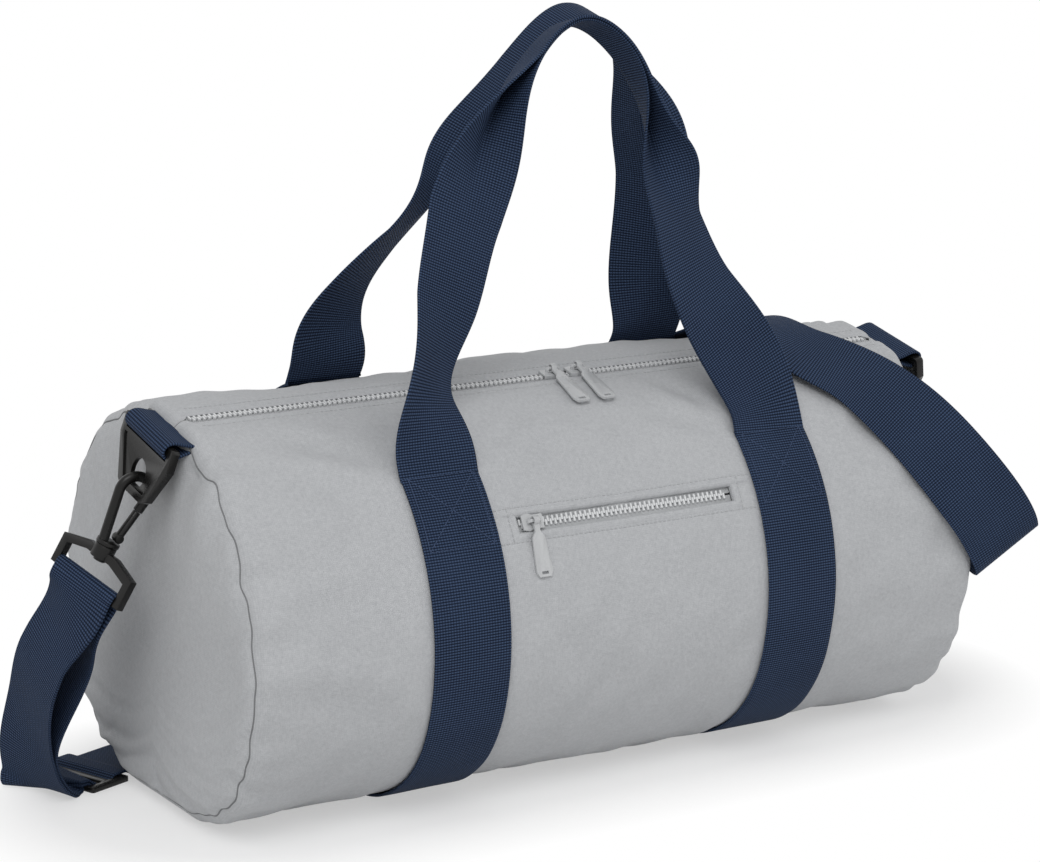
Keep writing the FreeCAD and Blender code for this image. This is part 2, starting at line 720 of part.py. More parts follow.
def make_ring(label, side):
    """Moulded loop: a bar for the tab, and a tapering plate with a rim and a round hook hole."""
    body = new_body(label)
    low = "-sizes.ring_height"
    tip = "sizes.ring_tip_width / 2"
    plate = new_sketch(body, "YZ_Plane")
    draw_polygon(
        plate,
        [
            (f"-{ring_outer_half}", "sizes.ring_bar / 2"),
            (ring_outer_half, "sizes.ring_bar / 2"),
            (ring_outer_half, f"-{ring_shoulder} - sizes.ring_rim"),
            (f"{tip} + sizes.ring_rim", f"{low} + sizes.ring_rim / 2"),
            (tip, low),
            (f"-{tip}", low),
            (f"-{tip} - sizes.ring_rim", f"{low} + sizes.ring_rim / 2"),
            (f"-{ring_outer_half}", f"-{ring_shoulder} - sizes.ring_rim"),
        ],
    )
    pad(body, plate, "sizes.ring_rim", symmetric=True)
    through = lambda edge: edge.BoundBox.XLength > size("ring_rim") / 2
    ease_edges(body, "Fillet", "sizes.ring_rim * 0.4", through)
    recess = [
        (f"-{ring_inner_half}", f"-{ring_shoulder} - sizes.ring_rim / 2"),
        (ring_inner_half, f"-{ring_shoulder} - sizes.ring_rim / 2"),
        (ring_inner_half, f"-{ring_shoulder} - sizes.ring_rim"),
        (tip, f"{low} + sizes.ring_rim"),
        (f"-{tip}", f"{low} + sizes.ring_rim"),
        (f"-{ring_inner_half}", f"-{ring_shoulder} - sizes.ring_rim"),
    ]
    for reverse in (False, True):
        face = "sizes.ring_web / 2" if reverse else "-sizes.ring_web / 2"
        hollow = new_sketch(body, "YZ_Plane", face)
        draw_polygon(hollow, recess)
        pocket(body, hollow, "sizes.ring_rim", reverse=reverse)
    slot = new_sketch(body, "YZ_Plane")
    draw_polygon(
        slot,
        [
            (f"-{ring_inner_half}", "-sizes.ring_bar / 2"),
            (ring_inner_half, "-sizes.ring_bar / 2"),
            (ring_inner_half, f"-{ring_shoulder}"),
            (f"-{ring_inner_half}", f"-{ring_shoulder}"),
        ],
    )
    pocket(body, slot, "sizes.ring_rim * 2", symmetric=True)
    hole = new_sketch(body, "YZ_Plane")
    draw_circle(hole, "0", ring_hole_place, "sizes.ring_hole / 2")
    pocket(body, hole, "sizes.ring_rim * 2", symmetric=True)
    body.Placement = ring_frame(side)
    return body


def ring_frame(side):
    tilt = FreeCAD.Rotation(FreeCAD.Vector(0, 1, 0), -size("ring_tilt"))
    return end_frame(side).multiply(FreeCAD.Placement(FreeCAD.Vector(size("tab_reach"), 0, 0), tilt))


def hook_frame(side, axis):
    """Local Z up along the hook, local X towards the bag's end; the bow bears on the loop's lower rim."""
    ring = ring_frame(side)
    hole = ring.multVec(FreeCAD.Vector(0, 0, worked_out(ring_hole_place)))
    plate = ring.Rotation.multVec(x_axis)
    pull = (axis - plate * axis.dot(plate)).normalize()
    bearing = "sqrt((sizes.hook_gap / 2 - sizes.hook_play) ^ 2 - (sizes.ring_rim / 2) ^ 2)"
    centre = hole + pull * worked_out(f"sizes.ring_hole / 2 + {bearing}")
    up = axis * -1
    inward = FreeCAD.Vector(-side, 0, 0)
    inward = (inward - up * inward.dot(up)).normalize()
    turn = FreeCAD.Rotation(inward, FreeCAD.Vector(), up, "ZXY")
    return FreeCAD.Placement(centre, turn)


# Snap hook: a round bar up the spine, round the bow and down to the nose, and a gate from nose to foot
hook_bend = "(sizes.hook_gap / 2 + sizes.hook_wire / 2)"
hook_root = "(sizes.hook_foot_radius - sizes.hook_wire / 2 - sizes.running_gap)"
hook_drop = "(sizes.hook_length - sizes.hook_foot_height / 2)"
hook_span = f"sqrt({hook_root} ^ 2 + {hook_drop} ^ 2)"
hook_tilt = f"(asin({hook_bend} / {hook_span}) - atan({hook_root} / {hook_drop}))"
gate_knuckle = "(sizes.hook_wire * 0.45)"
gate_drop = f"(sizes.hook_length - sizes.hook_foot_height - sizes.running_gap - {gate_knuckle})"


def hook_side(drop):
    """How far a leg's middle line lies from the hook's middle, at this drop below the bow's centre."""
    return f"(({hook_bend} - ({drop}) * sin({hook_tilt})) / cos({hook_tilt}))"


def bind_point(sketch, place, across, up):
    bind(sketch, "DistanceX", (-1, 1, *place), across)
    bind(sketch, "DistanceY", (-1, 1, *place), up)


def draw_hook_path(sketch):
    """Middle line of the hook's bar: both legs run straight off the bow."""
    bend = worked_out(hook_bend)
    tilt = math.radians(worked_out(hook_tilt))
    turn_off = FreeCAD.Vector(bend * math.cos(tilt), -bend * math.sin(tilt), 0)
    root = FreeCAD.Vector(-worked_out(hook_root), -worked_out(hook_drop), 0)
    nose = FreeCAD.Vector(worked_out(hook_side("sizes.hook_nose")), -size("hook_nose"), 0)
    circle = Part.Circle(FreeCAD.Vector(), FreeCAD.Vector(0, 0, 1), bend)
    spine = sketch.addGeometry(Part.LineSegment(root, FreeCAD.Vector(-turn_off.x, turn_off.y, 0)))
    bow = sketch.addGeometry(Part.ArcOfCircle(circle, -tilt, math.pi + tilt))
    tip = sketch.addGeometry(Part.LineSegment(turn_off, nose))
    sketch.addConstraint(Sketcher.Constraint("Tangent", spine, 2, bow, 2))
    sketch.addConstraint(Sketcher.Constraint("Tangent", bow, 1, tip, 1))
    sketch.addConstraint(Sketcher.Constraint("Coincident", bow, 3, -1, 1))
    bind(sketch, "Radius", (bow,), hook_bend)
    bind_point(sketch, (spine, 1), f"-{hook_root}", f"-{hook_drop}")
    bind_point(sketch, (tip, 2), hook_side("sizes.hook_nose"), "-sizes.hook_nose")


def sweep_bar(body, path, radius):
    """Round bar along a path, square to its first edge."""
    profile = body.newObject("Sketcher::SketchObject", body.Label + "_profile")
    profile.AttachmentSupport = (path, ["Edge1"])
    profile.MapMode = "NormalToEdge"
    draw_circle(profile, "0", "0", radius)
    doc.recompute()
    bar = body.newObject("PartDesign::AdditivePipe", body.Label + "_bar")
    bar.Profile = profile
    bar.Spine = path
    doc.recompute()
    return bar


def make_hook(label, side, axis):
    """The hook's bar on its round foot, with a swivel stem and its head."""
    body = new_body(label)
    path = new_sketch(body, "XZ_Plane")
    draw_hook_path(path)
    doc.recompute()
    sweep_bar(body, path, "sizes.hook_wire / 2")
    foot = new_sketch(body, "XY_Plane", "-sizes.hook_length")
    draw_circle(foot, "0", "0", "sizes.hook_foot_radius")
    pad(body, foot, "sizes.hook_foot_height")
    stem = new_sketch(body, "XY_Plane", "-sizes.hook_length")
    draw_circle(stem, "0", "0", "sizes.stem_radius")
    pad(body, stem, "sizes.collar_height + 2 * sizes.running_gap", reverse=True)
    head = new_sketch(body, "XY_Plane", "-sizes.hook_length - sizes.collar_height - 2 * sizes.running_gap")
    draw_circle(head, "0", "0", "sizes.stem_radius * 1.5")
    pad(body, head, "sizes.stem_radius * 0.6", reverse=True)
    body.Placement = hook_frame(side, axis)
    return body


def make_gate(label, side, axis):
    """Sprung gate: a rod from the nose to a knuckle on the foot."""
    body = new_body(label)
    high = "(sizes.hook_nose + sizes.running_gap)"
    low_point = (hook_side(gate_drop), f"-{gate_drop}")
    high_point = (hook_side(high), f"-{high}")
    path = new_sketch(body, "XZ_Plane")
    ends = [FreeCAD.Vector(worked_out(across), worked_out(up), 0) for across, up in (low_point, high_point)]
    line = path.addGeometry(Part.LineSegment(*ends))
    bind_point(path, (line, 1), *low_point)
    bind_point(path, (line, 2), *high_point)
    doc.recompute()
    sweep_bar(body, path, "sizes.hook_wire * 0.4")
    knuckle = new_sketch(body, "XZ_Plane")
    draw_circle(knuckle, *low_point, gate_knuckle)
    pad(body, knuckle, "sizes.hook_wire * 0.9", symmetric=True)
    body.Placement = hook_frame(side, axis)
    return body


def make_hook_base(label, side, axis, bar):
    """Swivel base: a collar round the hook's stem on a frame that the strap passes through."""
    body = new_body(label)
    window = "(sizes.webbing_width / 2 + sizes.running_gap)"
    half = f"({window} + sizes.base_rim)"
    top = "0"
    frame = new_sketch(body, "XZ_Plane")
    low = "-sizes.base_height"
    draw_polygon(
        frame,
        [
            (f"-{half} * 0.4", top),
            (f"{half} * 0.4", top),
            (half, "-sizes.base_rim"),
            (half, low),
            (f"-{half}", low),
            (f"-{half}", "-sizes.base_rim"),
        ],
    )
    draw_polygon(
        frame,
        [
            (f"-{window} * 0.4", "-sizes.base_rim"),
            (f"{window} * 0.4", "-sizes.base_rim"),
            (window, "-sizes.base_rim * 1.8"),
            (window, f"{low} + sizes.base_rim"),
            (f"-{window}", f"{low} + sizes.base_rim"),
            (f"-{window}", "-sizes.base_rim * 1.8"),
        ],
    )
    pad(body, frame, "sizes.base_rim", symmetric=True)
    collar = new_sketch(body, "XY_Plane", "-sizes.base_rim")
    draw_circle(collar, "0", "0", "sizes.collar_radius")
    pad(body, collar, "sizes.collar_height")
    bore = new_sketch(body, "XY_Plane", "-sizes.base_rim")
    draw_circle(bore, "0", "0", "sizes.stem_radius + sizes.running_gap")
    pocket(body, bore, "sizes.collar_height * 2", reverse=True)
    body.Placement = base_frame(side, axis, bar)
    return body


def base_frame(side, axis, bar):
    lift = worked_out("-sizes.hook_length - sizes.running_gap - sizes.collar_height + sizes.base_rim")
    up = axis * -1
    across = (bar - up * bar.dot(up)).normalize()
    centre = hook_frame(side, axis).multVec(FreeCAD.Vector(0, 0, lift))
    return FreeCAD.Placement(centre, FreeCAD.Rotation(across, FreeCAD.Vector(), up, "ZXY"))


left_hook_axis = FreeCAD.Vector(-0.43, 0.19, -0.88).normalize()
left_hook_bar = FreeCAD.Vector(0.255, -0.912, -0.322)
right_hook_axis = FreeCAD.Vector(0.25, -0.55, -0.797).normalize()
right_hook_bar = FreeCAD.Vector(0.945, 0, 0.296)


# Shoulder strap: each row of a route is a point and the way the webbing faces there
straight = 8


def on_barrel(along, angle, lift):
    """A place on the barrel: share of its half length, angle, and height above its cloth."""
    face = FreeCAD.Rotation(x_axis, angle).multVec(FreeCAD.Vector(0, 0, 1))
    centre = FreeCAD.Vector(along * size("barrel_length") / 2, 0, worked_out(axis_height))
    return centre + face * (size("barrel_radius") + lift), face


def free(x, y, rise, *facing):
    """A place off the barrel: shares of its half length and radius; rise 1 is the axis and 2 the top."""
    radius = size("barrel_radius")
    axis = worked_out(axis_height)
    z = rise * axis if rise < 1 else axis + (rise - 1) * radius
    return FreeCAD.Vector(x * size("barrel_length") / 2, y * radius, z), FreeCAD.Vector(*facing).normalize()


def beyond(side, out, y, rise, *facing):
    """A place this far beyond one end of the barrel."""
    point, face = free(side, y, rise, *facing)
    return point + x_axis * side * out, face


def make_strap(label, route, thick):
    stations = []
    for number, (point, facing) in enumerate(route):
        run = route[min(number + 1, len(route) - 1)][0] - route[max(number - 1, 0)][0]
        stations.append((point, facing.cross(run), size("webbing_width"), thick))
    return ribbon(label, stations)


def strap_start(side, axis, bar, further):
    """Where the webbing leaves the lower bar of a hook base, and the way it faces there."""
    place = base_frame(side, axis, bar)
    below = worked_out("-sizes.base_height - sizes.running_gap") - further
    point = place.multVec(FreeCAD.Vector(0, 0, below))
    return point, place.Rotation.multVec(FreeCAD.Vector(0, 1, 0)) * side


def adjuster_frame():
    centre = FreeCAD.Vector(worked_out("sizes.adjuster_x - sizes.barrel_length / 2"), size("adjuster_y"), 0)
    return FreeCAD.Placement(centre, FreeCAD.Rotation(FreeCAD.Vector(0, 0, 1), size("adjuster_turn")))


def beside_adjuster(side, lift, further):
    reach = worked_out("sizes.adjuster_length / 2 + sizes.running_gap") + further
    return adjuster_frame().multVec(FreeCAD.Vector(side * reach, 0, lift)), FreeCAD.Vector(0, 0, 1)


def make_adjuster(label):
    """Flat slide: a frame with a crossbar between its two windows."""
    body = new_body(label)
    half = "(sizes.adjuster_length / 2)"
    window = "(sizes.webbing_width / 2 + sizes.running_gap)"
    wide = f"({window} + sizes.adjuster_rim)"
    bar = "(sizes.adjuster_rim / 2)"
    plate = new_sketch(body, "XY_Plane", "sizes.seat_gap")
    draw_polygon(plate, [(f"-{half}", f"-{wide}"), (half, f"-{wide}"), (half, wide), (f"-{half}", wide)])
    for near, far in ((bar, f"{half} - sizes.adjuster_rim"), (f"-{half} + sizes.adjuster_rim", f"-{bar}")):
        draw_polygon(plate, [(near, f"-{window}"), (far, f"-{window}"), (far, window), (near, window)])
    pad(body, plate, "sizes.adjuster_thickness")
    upright = lambda edge: abs(edge.BoundBox.ZLength - size("adjuster_thickness")) < 0.01
    ease_edges(body, "Fillet", "sizes.adjuster_rim / 3", upright)
    body.Placement = adjuster_frame()
    return body


def make_strap_loop():
    """Doubled webbing from the left hook base down to the slide on the floor."""
    thick = worked_out("2 * sizes.webbing_thickness + sizes.seat_gap")
    floor = thick / 2 + 2 * size("seat_gap")
    route = [strap_start(-1, left_hook_axis, left_hook_bar, further) for further in (0, straight)]
    route += [
        beyond(-1, 54, 0.038, 1.036, -0.93, -0.13, 0.25),
        beyond(-1, 62, 0.137, 0.824, -0.95, -0.15, 0.22),
        beyond(-1, 68, 0.258, 0.550, -0.98, -0.17, 0.10),
        beyond(-1, 69, 0.342, 0.330, -0.97, -0.25, -0.10),
        beyond(-1, 64, 0.395, 0.155, -0.80, -0.25, -0.53),
        beyond(-1, 54, 0.448, 0.051, -0.42, -0.15, -0.90),
    ]
    for further in (straight, 0):
        end, up = beside_adjuster(-1, floor, further)
        route.append((end, up * -1))
    return make_strap("strap_loop", route, thick)


def make_strap_main():
    """Single webbing from the slide, behind the bag, up over the top and down to the right hook."""
    thick = size("webbing_thickness")
    floor = thick / 2 + 2 * size("seat_gap")
    route = [beside_adjuster(1, floor, further) for further in (0, straight)]
    route += [
        free(-0.848, 0.729, floor / worked_out(axis_height), 0, 0, 1),
        free(-0.664, 0.859, 0.014, 0, 0.05, 1),
        free(-0.512, 0.957, 0.082, 0, 0.26, 0.97),
        free(-0.368, 1.018, 0.211, 0, 0.70, 0.71),
        free(-0.232, 1.041, 0.422, 0, 0.98, 0.17),
    ]
    for along, angle, lift in (
        (-0.100, -97, 4),
        (0.048, -82, 3.3),
        (0.192, -67, 3.3),
        (0.336, -54, 3.3),
        (0.488, -43, 3.5),
        (0.616, -33, 3.5),
        (0.680, -18, 4.5),
        (0.672, -3, 8.6),
        (0.660, 13, 11.2),
    ):
        route.append(on_barrel(along, angle, lift))
    route += [
        free(0.688, -0.413, 1.985, -0.09, -0.46, 0.88),
        free(0.760, -0.591, 1.895, -0.15, -0.57, 0.81),
        free(0.828, -0.767, 1.762, -0.26, -0.72, 0.64),
        free(0.888, -0.904, 1.606, -0.31, -0.85, 0.43),
        free(0.960, -1.041, 1.386, -0.31, -0.94, 0.15),
        beyond(1, 11, -1.087, 1.150, -0.25, -0.97, -0.02),
        beyond(1, 19, -1.064, 1.059, 0.23, -0.74, -0.58),
        beyond(1, 26, -0.973, 1.029, 0.55, -0.15, -0.82),
        beyond(1, 32, -0.805, 1.059, 0.50, 0.20, -0.84),
        beyond(1, 35.5, -0.638, 1.150, 0.38, 0.48, -0.78),
    ]
    route += [strap_start(1, right_hook_axis, right_hook_bar, further) for further in (straight, 0)]
    return make_strap("strap_main", route, thick)


pieces = [make_barrel()]
for name, side in (("left", -1), ("right", 1)):
    pieces.append(make_end_panel("end_panel_" + name, side))
    pieces.append(make_binding("seam_binding_" + name, side))
    pieces.append(make_band("webbing_band_" + name, side))
pieces += make_zip("main", "sizes.zip_angle", "0", "sizes.main_zip_length")
pieces += make_zip("pocket", "sizes.pocket_angle", "sizes.pocket_middle", "sizes.pocket_zip_length")
for name, head in (("left", 1), ("right", -1)):
    place = f"sizes.{name}_slider_place"
    lie = "sizes.main_pull_lie"
    pieces.append(make_slider("main_slider_" + name, "sizes.zip_angle", place, head))
    pieces.append(make_pull("main_pull_" + name, "sizes.zip_angle", place, "sizes.pull_length", lie))
place = "(sizes.pocket_middle - sizes.pocket_zip_length / 2 + sizes.pocket_slider_inset)"
lie = "sizes.pocket_pull_lie"
pieces.append(make_slider("pocket_slider", "sizes.pocket_angle", place, -1))
pieces.append(make_pull("pocket_pull", "sizes.pocket_angle", place, "sizes.pocket_pull_length", lie))
pieces.append(make_pocket_lining())
pieces.append(
    make_handle(
        "handle_front",
        front_handle_rows,
        worked_out("sizes.zip_angle + sizes.stitch_angle"),
        size("front_handle_lean"),
        size("front_handle_height"),
    )
)
pieces.append(
    make_handle(
        "handle_rear",
        rear_handle_rows,
        worked_out("sizes.zip_angle - sizes.stitch_angle"),
        size("rear_handle_lean"),
        size("rear_handle_height"),
    )
)
for name, side, axis, bar in (
    ("left", -1, left_hook_axis, left_hook_bar),
    ("right", 1, right_hook_axis, right_hook_bar),
):
    pieces.append(make_tab("tab_" + name, side))
    pieces.append(make_ring("ring_" + name, side))
    pieces.append(make_hook("hook_" + name, side, axis))
    pieces.append(make_gate("hook_gate_" + name, side, axis))
    pieces.append(make_hook_base("hook_base_" + name, side, axis, bar))
pieces.append(make_adjuster("slide_adjuster"))
pieces.append(make_strap_loop())
pieces.append(make_strap_main())

doc.recompute()
for item in doc.Objects:
    assert not {"Invalid", "Error"} & set(item.State), f"{item.Label} failed"
for piece in pieces:
    assert not piece.Shape.isNull() and piece.Shape.isValid(), f"{piece.Label} has no valid shape"

os.makedirs("parts", exist_ok=True)
for piece in pieces:
    piece.Shape.exportStep(f"parts/{piece.Label}.step")
    print(piece.Label, len(piece.Shape.Solids), round(piece.Shape.Volume, 1))
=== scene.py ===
import json

import bpy
import numpy as np
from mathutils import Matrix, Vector

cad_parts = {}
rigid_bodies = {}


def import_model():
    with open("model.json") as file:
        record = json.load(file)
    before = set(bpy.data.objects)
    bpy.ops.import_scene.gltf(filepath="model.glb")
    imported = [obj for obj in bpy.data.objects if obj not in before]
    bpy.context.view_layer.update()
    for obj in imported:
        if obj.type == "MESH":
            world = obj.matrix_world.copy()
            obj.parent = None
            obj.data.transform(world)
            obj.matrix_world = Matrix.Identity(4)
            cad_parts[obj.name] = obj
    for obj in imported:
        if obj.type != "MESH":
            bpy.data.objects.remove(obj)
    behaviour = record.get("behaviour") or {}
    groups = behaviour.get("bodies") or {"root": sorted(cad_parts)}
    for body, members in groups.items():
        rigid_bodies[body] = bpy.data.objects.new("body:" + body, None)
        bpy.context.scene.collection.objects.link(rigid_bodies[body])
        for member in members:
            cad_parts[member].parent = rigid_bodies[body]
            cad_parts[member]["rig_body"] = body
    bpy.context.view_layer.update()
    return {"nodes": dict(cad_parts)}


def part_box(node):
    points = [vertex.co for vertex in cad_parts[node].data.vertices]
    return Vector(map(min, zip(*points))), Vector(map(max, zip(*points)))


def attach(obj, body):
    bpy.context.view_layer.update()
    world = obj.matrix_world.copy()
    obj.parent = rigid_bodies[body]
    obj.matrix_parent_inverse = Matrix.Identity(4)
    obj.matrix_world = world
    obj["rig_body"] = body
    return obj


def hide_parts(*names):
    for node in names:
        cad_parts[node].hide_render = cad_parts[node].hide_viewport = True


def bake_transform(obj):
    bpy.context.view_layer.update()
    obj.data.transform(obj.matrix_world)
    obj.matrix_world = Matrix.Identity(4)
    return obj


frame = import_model()
cadNodes = frame["nodes"]
print("frame loaded")

# Lengths are metres and angles are degrees from the top, front positive.
# X runs along the barrel, -Y is the front, Z is up.
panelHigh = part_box("barrel_panel")[1]
barrel = {
    "halfLength": panelHigh.x,
    "radius": panelHigh.y,
    "floorGap": 0.0018,
    "cornerRadius": 0.095,
    "shoulder": 0.0084,  # radius of the roll into each end seam
    "curl": 118,  # how far round that roll the cloth goes
    "zipAngle": 13,
    "zipGap": 0.0042,
    "zipEnd": 0.2405,
    "pocketTop": 59.3,
    "pocketFoot": 64.2,
    "pocketLeft": -0.0768,
    "pocketRight": 0.0748,
}
bands = {
    "middle": 0.1155,
    "width": 0.050,
    "thickness": 0.0016,
    "lift": 0.0002,
    "frontAngle": 44,
    "rearAngle": -18,
    "lead": 1,  # the band starts this far below the handle's stitch line
    "overCloth": 0.0009,
    "highest": 0.0001,
    "steps": 300,
}

axisHeight = panelHigh.z - barrel["radius"]
cornerHeight = barrel["floorGap"] + barrel["cornerRadius"]
centreSpread = barrel["radius"] - barrel["cornerRadius"]
cornerAside = np.sqrt(centreSpread ** 2 - (axisHeight - cornerHeight) ** 2)
topAngle = np.pi / 2 + np.arctan2(axisHeight - cornerHeight, cornerAside)
topArc = topAngle * barrel["radius"]
cornerArc = (np.pi - topAngle) * barrel["cornerRadius"]
halfRound = topArc + cornerArc + cornerAside


def ease(value):
    share = np.clip(value, 0, 1)
    return share * share * (3 - 2 * share)


def hump(value, middle, reach):
    return np.exp(-(((value - middle) / reach) ** 2))


def arcAt(degrees):
    return np.radians(degrees) * barrel["radius"]


def waves(first, second, count, shortest, longest, seed):
    # A sum of plane waves in seeded directions, each as high as it is long, scaled to about one.
    chance = np.random.default_rng(seed)
    total = np.zeros(np.broadcast(first, second).shape)
    weight = 0
    for turn in range(count):
        length = shortest * (longest / shortest) ** chance.random()
        heading = chance.random() * np.pi
        phase = chance.random() * 2 * np.pi
        along = first * np.cos(heading) + second * np.sin(heading)
        total = total + length * np.sin(2 * np.pi * along / length + phase)
        weight = weight + length ** 2
    return total / np.sqrt(weight / 2)


def sectionFrame(arc):
    # Round the section by arc length from the top: big circle, base corner, flat base.
    side = np.sign(arc)
    far = np.abs(arc)
    corner = np.clip(far - topArc, 0, cornerArc)
    flat = np.clip(far - topArc - cornerArc, 0, cornerAside)
    angle = side * (np.minimum(far, topArc) / barrel["radius"] + corner / barrel["cornerRadius"])
    onTop = far <= topArc
    centreY = np.where(onTop, 0, -side * (cornerAside - flat))
    centreZ = np.where(onTop, axisHeight, cornerHeight)
    reach = np.where(onTop, barrel["radius"], barrel["cornerRadius"])
    return angle, centreY, centreZ, reach


def onSection(along, arc, lift):
    angle, centreY, centreZ, reach = sectionFrame(arc)
    distance = reach + lift
    y = centreY - distance * np.sin(angle)
    z = centreZ + distance * np.cos(angle)
    return np.stack(np.broadcast_arrays(along, y, z), -1)


def sectionNormal(arc):
    angle = sectionFrame(arc)[0]
    return np.stack(np.broadcast_arrays(0 * angle, -np.sin(angle), np.cos(angle)), -1)


# Creases in the cloth: start and end as (x, degrees from the top), then width and depth.
creases = [
    (-0.235, 34, -0.150, 47, 0.011, 0.0016),
    (-0.240, 52, -0.165, 58, 0.014, 0.0014),
    (-0.238, 74, -0.175, 70, 0.012, 0.0014),
    (-0.240, 92, -0.160, 99, 0.015, 0.0015),
    (-0.205, 24, -0.152, 33, 0.008, 0.0010),
    (-0.085, 47, -0.020, 33, 0.010, 0.0012),
    (-0.080, 40, -0.035, 24, 0.007, 0.0009),
    (0.085, 46, 0.030, 36, 0.010, 0.0018),
    (0.084, 38, 0.052, 23, 0.009, 0.0020),
    (-0.146, 43, -0.200, 31, 0.010, 0.0016),
    (-0.086, 72, -0.030, 98, 0.016, 0.0013),
    (0.086, 74, 0.020, 101, 0.016, 0.0013),
    (0.150, 47, 0.236, 38, 0.012, 0.0013),
    (0.152, 68, 0.238, 80, 0.014, 0.0012),
    (0.150, 95, 0.238, 101, 0.014, 0.0012),
    (-0.150, -24, -0.236, -40, 0.012, 0.0014),
    (-0.085, -22, 0.010, -40, 0.012, 0.0014),
    (0.085, -22, 0.020, -44, 0.013, 0.0013),
    (0.150, -24, 0.238, -45, 0.012, 0.0013),
    (-0.060, -80, 0.070, -96, 0.018, 0.0014),
    (-0.230, -80, -0.150, -92, 0.014, 0.0013),
    (0.150, -86, 0.235, -76, 0.014, 0.0013),
]


# Broad rises and hollows: height, x, reach along, angle, reach round.
# The back of the top lies lower on the left.
swells = [
    (-0.0060, -0.155, 0.055, -18, 0.030),
    (-0.0035, -0.060, 0.030, -17, 0.026),
    (0.0020, 0.060, 0.060, -20, 0.030),
]
# Each set of waves: how many, the shortest, the longest and the seed.
drape = {
    "broadWaves": (9, 0.07, 0.26, 5), "broadHeight": 0.0011, "stiffEnd": 0.05,
    "fineWaves": (14, 0.02, 0.06, 8), "fineHeight": 0.00035, "zipFlat": 0.012, "zipBlend": 0.03,
    "gatherWaves": (12, 0.014, 0.05, 11), "gatherHeight": 0.0014, "gatherReach": 0.022,
    "tabGather": 0.0016, "tabAngles": (31, -5), "tabReach": 0.030, "baseStart": 0.6, "baseBlend": 0.5,
    "creaseShare": 1.2, "creaseStart": 0.1, "creaseRise": 0.4, "creaseEnd": 1.1, "creaseFall": 0.5,
    "flapHeight": 0.0009, "flapDepth": 0.0075, "flapBlend": 0.005, "flapEdge": 0.0008, "flapEnd": 0.004,
    "bandReach": 0.012, "bandBlend": 0.014, "bandTurn": 4, "bandHold": 0.8, "bandSink": 0.0009,
    "zipSink": 0.0017, "zipSinkReach": 0.0095, "zipSinkBlend": 0.005,
    "hemSink": 0.0005, "hemAside": 0.0118, "hemReach": 0.0016, "hemEnd": 0.01,
}


def creaseRelief(along, arc, crease):
    # One side of the line stands up and the other dips, as the slope of a bell, and both fade at its ends.
    startX, startTurn, endX, endTurn, width, depth = crease
    start = np.array([startX, arcAt(startTurn)])
    run = np.array([endX, arcAt(endTurn)]) - start
    length = np.hypot(*run)
    run = run / length
    forward = (along - start[0]) * run[0] + (arc - start[1]) * run[1]
    aside = (along - start[0]) * run[1] - (arc - start[1]) * run[0]
    rise = ease(forward / (drape["creaseRise"] * length) + drape["creaseStart"])
    fall = ease((drape["creaseEnd"] * length - forward) / (drape["creaseFall"] * length))
    dip = (aside / width) * np.exp(0.5 - (aside / width) ** 2)
    return drape["creaseShare"] * depth * dip * (rise * fall)


def relief(along, arc):
    # How far the cloth stands off its cut shape: soft waves, gathered ends, creases and the sewn lines.
    fromEnd = barrel["halfLength"] - np.abs(along)
    fromZip = np.abs(arc - arcAt(barrel["zipAngle"]))
    loose = ease(fromEnd / drape["stiffEnd"])
    offZip = ease((fromZip - drape["zipFlat"]) / drape["zipBlend"])
    total = drape["broadHeight"] * waves(along, arc, *drape["broadWaves"]) * loose * offZip
    total = total + drape["fineHeight"] * waves(along, arc, *drape["fineWaves"]) * offZip
    gather = waves(0 * along, arc, *drape["gatherWaves"]) * np.exp(-fromEnd / drape["gatherReach"])
    besideTab = sum(hump(arc, arcAt(turn), drape["tabReach"]) for turn in drape["tabAngles"])
    total = total + (drape["gatherHeight"] + drape["tabGather"] * besideTab) * gather * offZip
    for crease in creases:
        total = total + creaseRelief(along, arc, crease)
    for height, x, reachAlong, turn, reachRound in swells:
        total = total + height * hump(along, x, reachAlong) * hump(arc, arcAt(turn), reachRound)
    # Above the pocket the panel ends in a folded edge that runs from band to band.
    above = arcAt(barrel["pocketTop"]) - arc
    flap = ease((drape["flapDepth"] - above) / drape["flapBlend"]) * ease(above / drape["flapEdge"])
    toBand = bands["middle"] - bands["width"] / 2 - np.abs(along)
    total = total + drape["flapHeight"] * flap * ease(toBand / drape["flapEnd"])
    # Along each band the cloth is drawn down under the sewing.
    turn = drape["bandTurn"]
    for middle in (-bands["middle"], bands["middle"]):
        aside = np.abs(along - middle)
        under = ease((bands["width"] / 2 + drape["bandReach"] - aside) / drape["bandBlend"])
        front = ease((arc - arcAt(bands["frontAngle"] - turn)) / arcAt(turn))
        sewn = under * (front + ease((arcAt(bands["rearAngle"] + turn) - arc) / arcAt(turn)))
        total = total * (1 - drape["bandHold"] * sewn) - drape["bandSink"] * sewn
    # The base lies flat on the floor, and the zip's edge sinks to the tape.
    pastStart = np.abs(arc) - topArc - drape["baseStart"] * cornerArc
    base = ease(pastStart / (drape["baseBlend"] * cornerArc))
    total = total * (1 - base)
    total = total - drape["zipSink"] * ease((drape["zipSinkReach"] - fromZip) / drape["zipSinkBlend"])
    hem = hump(fromZip, drape["hemAside"], drape["hemReach"])
    hem = hem * ease((barrel["zipEnd"] - np.abs(along)) / drape["hemEnd"])
    return total - drape["hemSink"] * hem


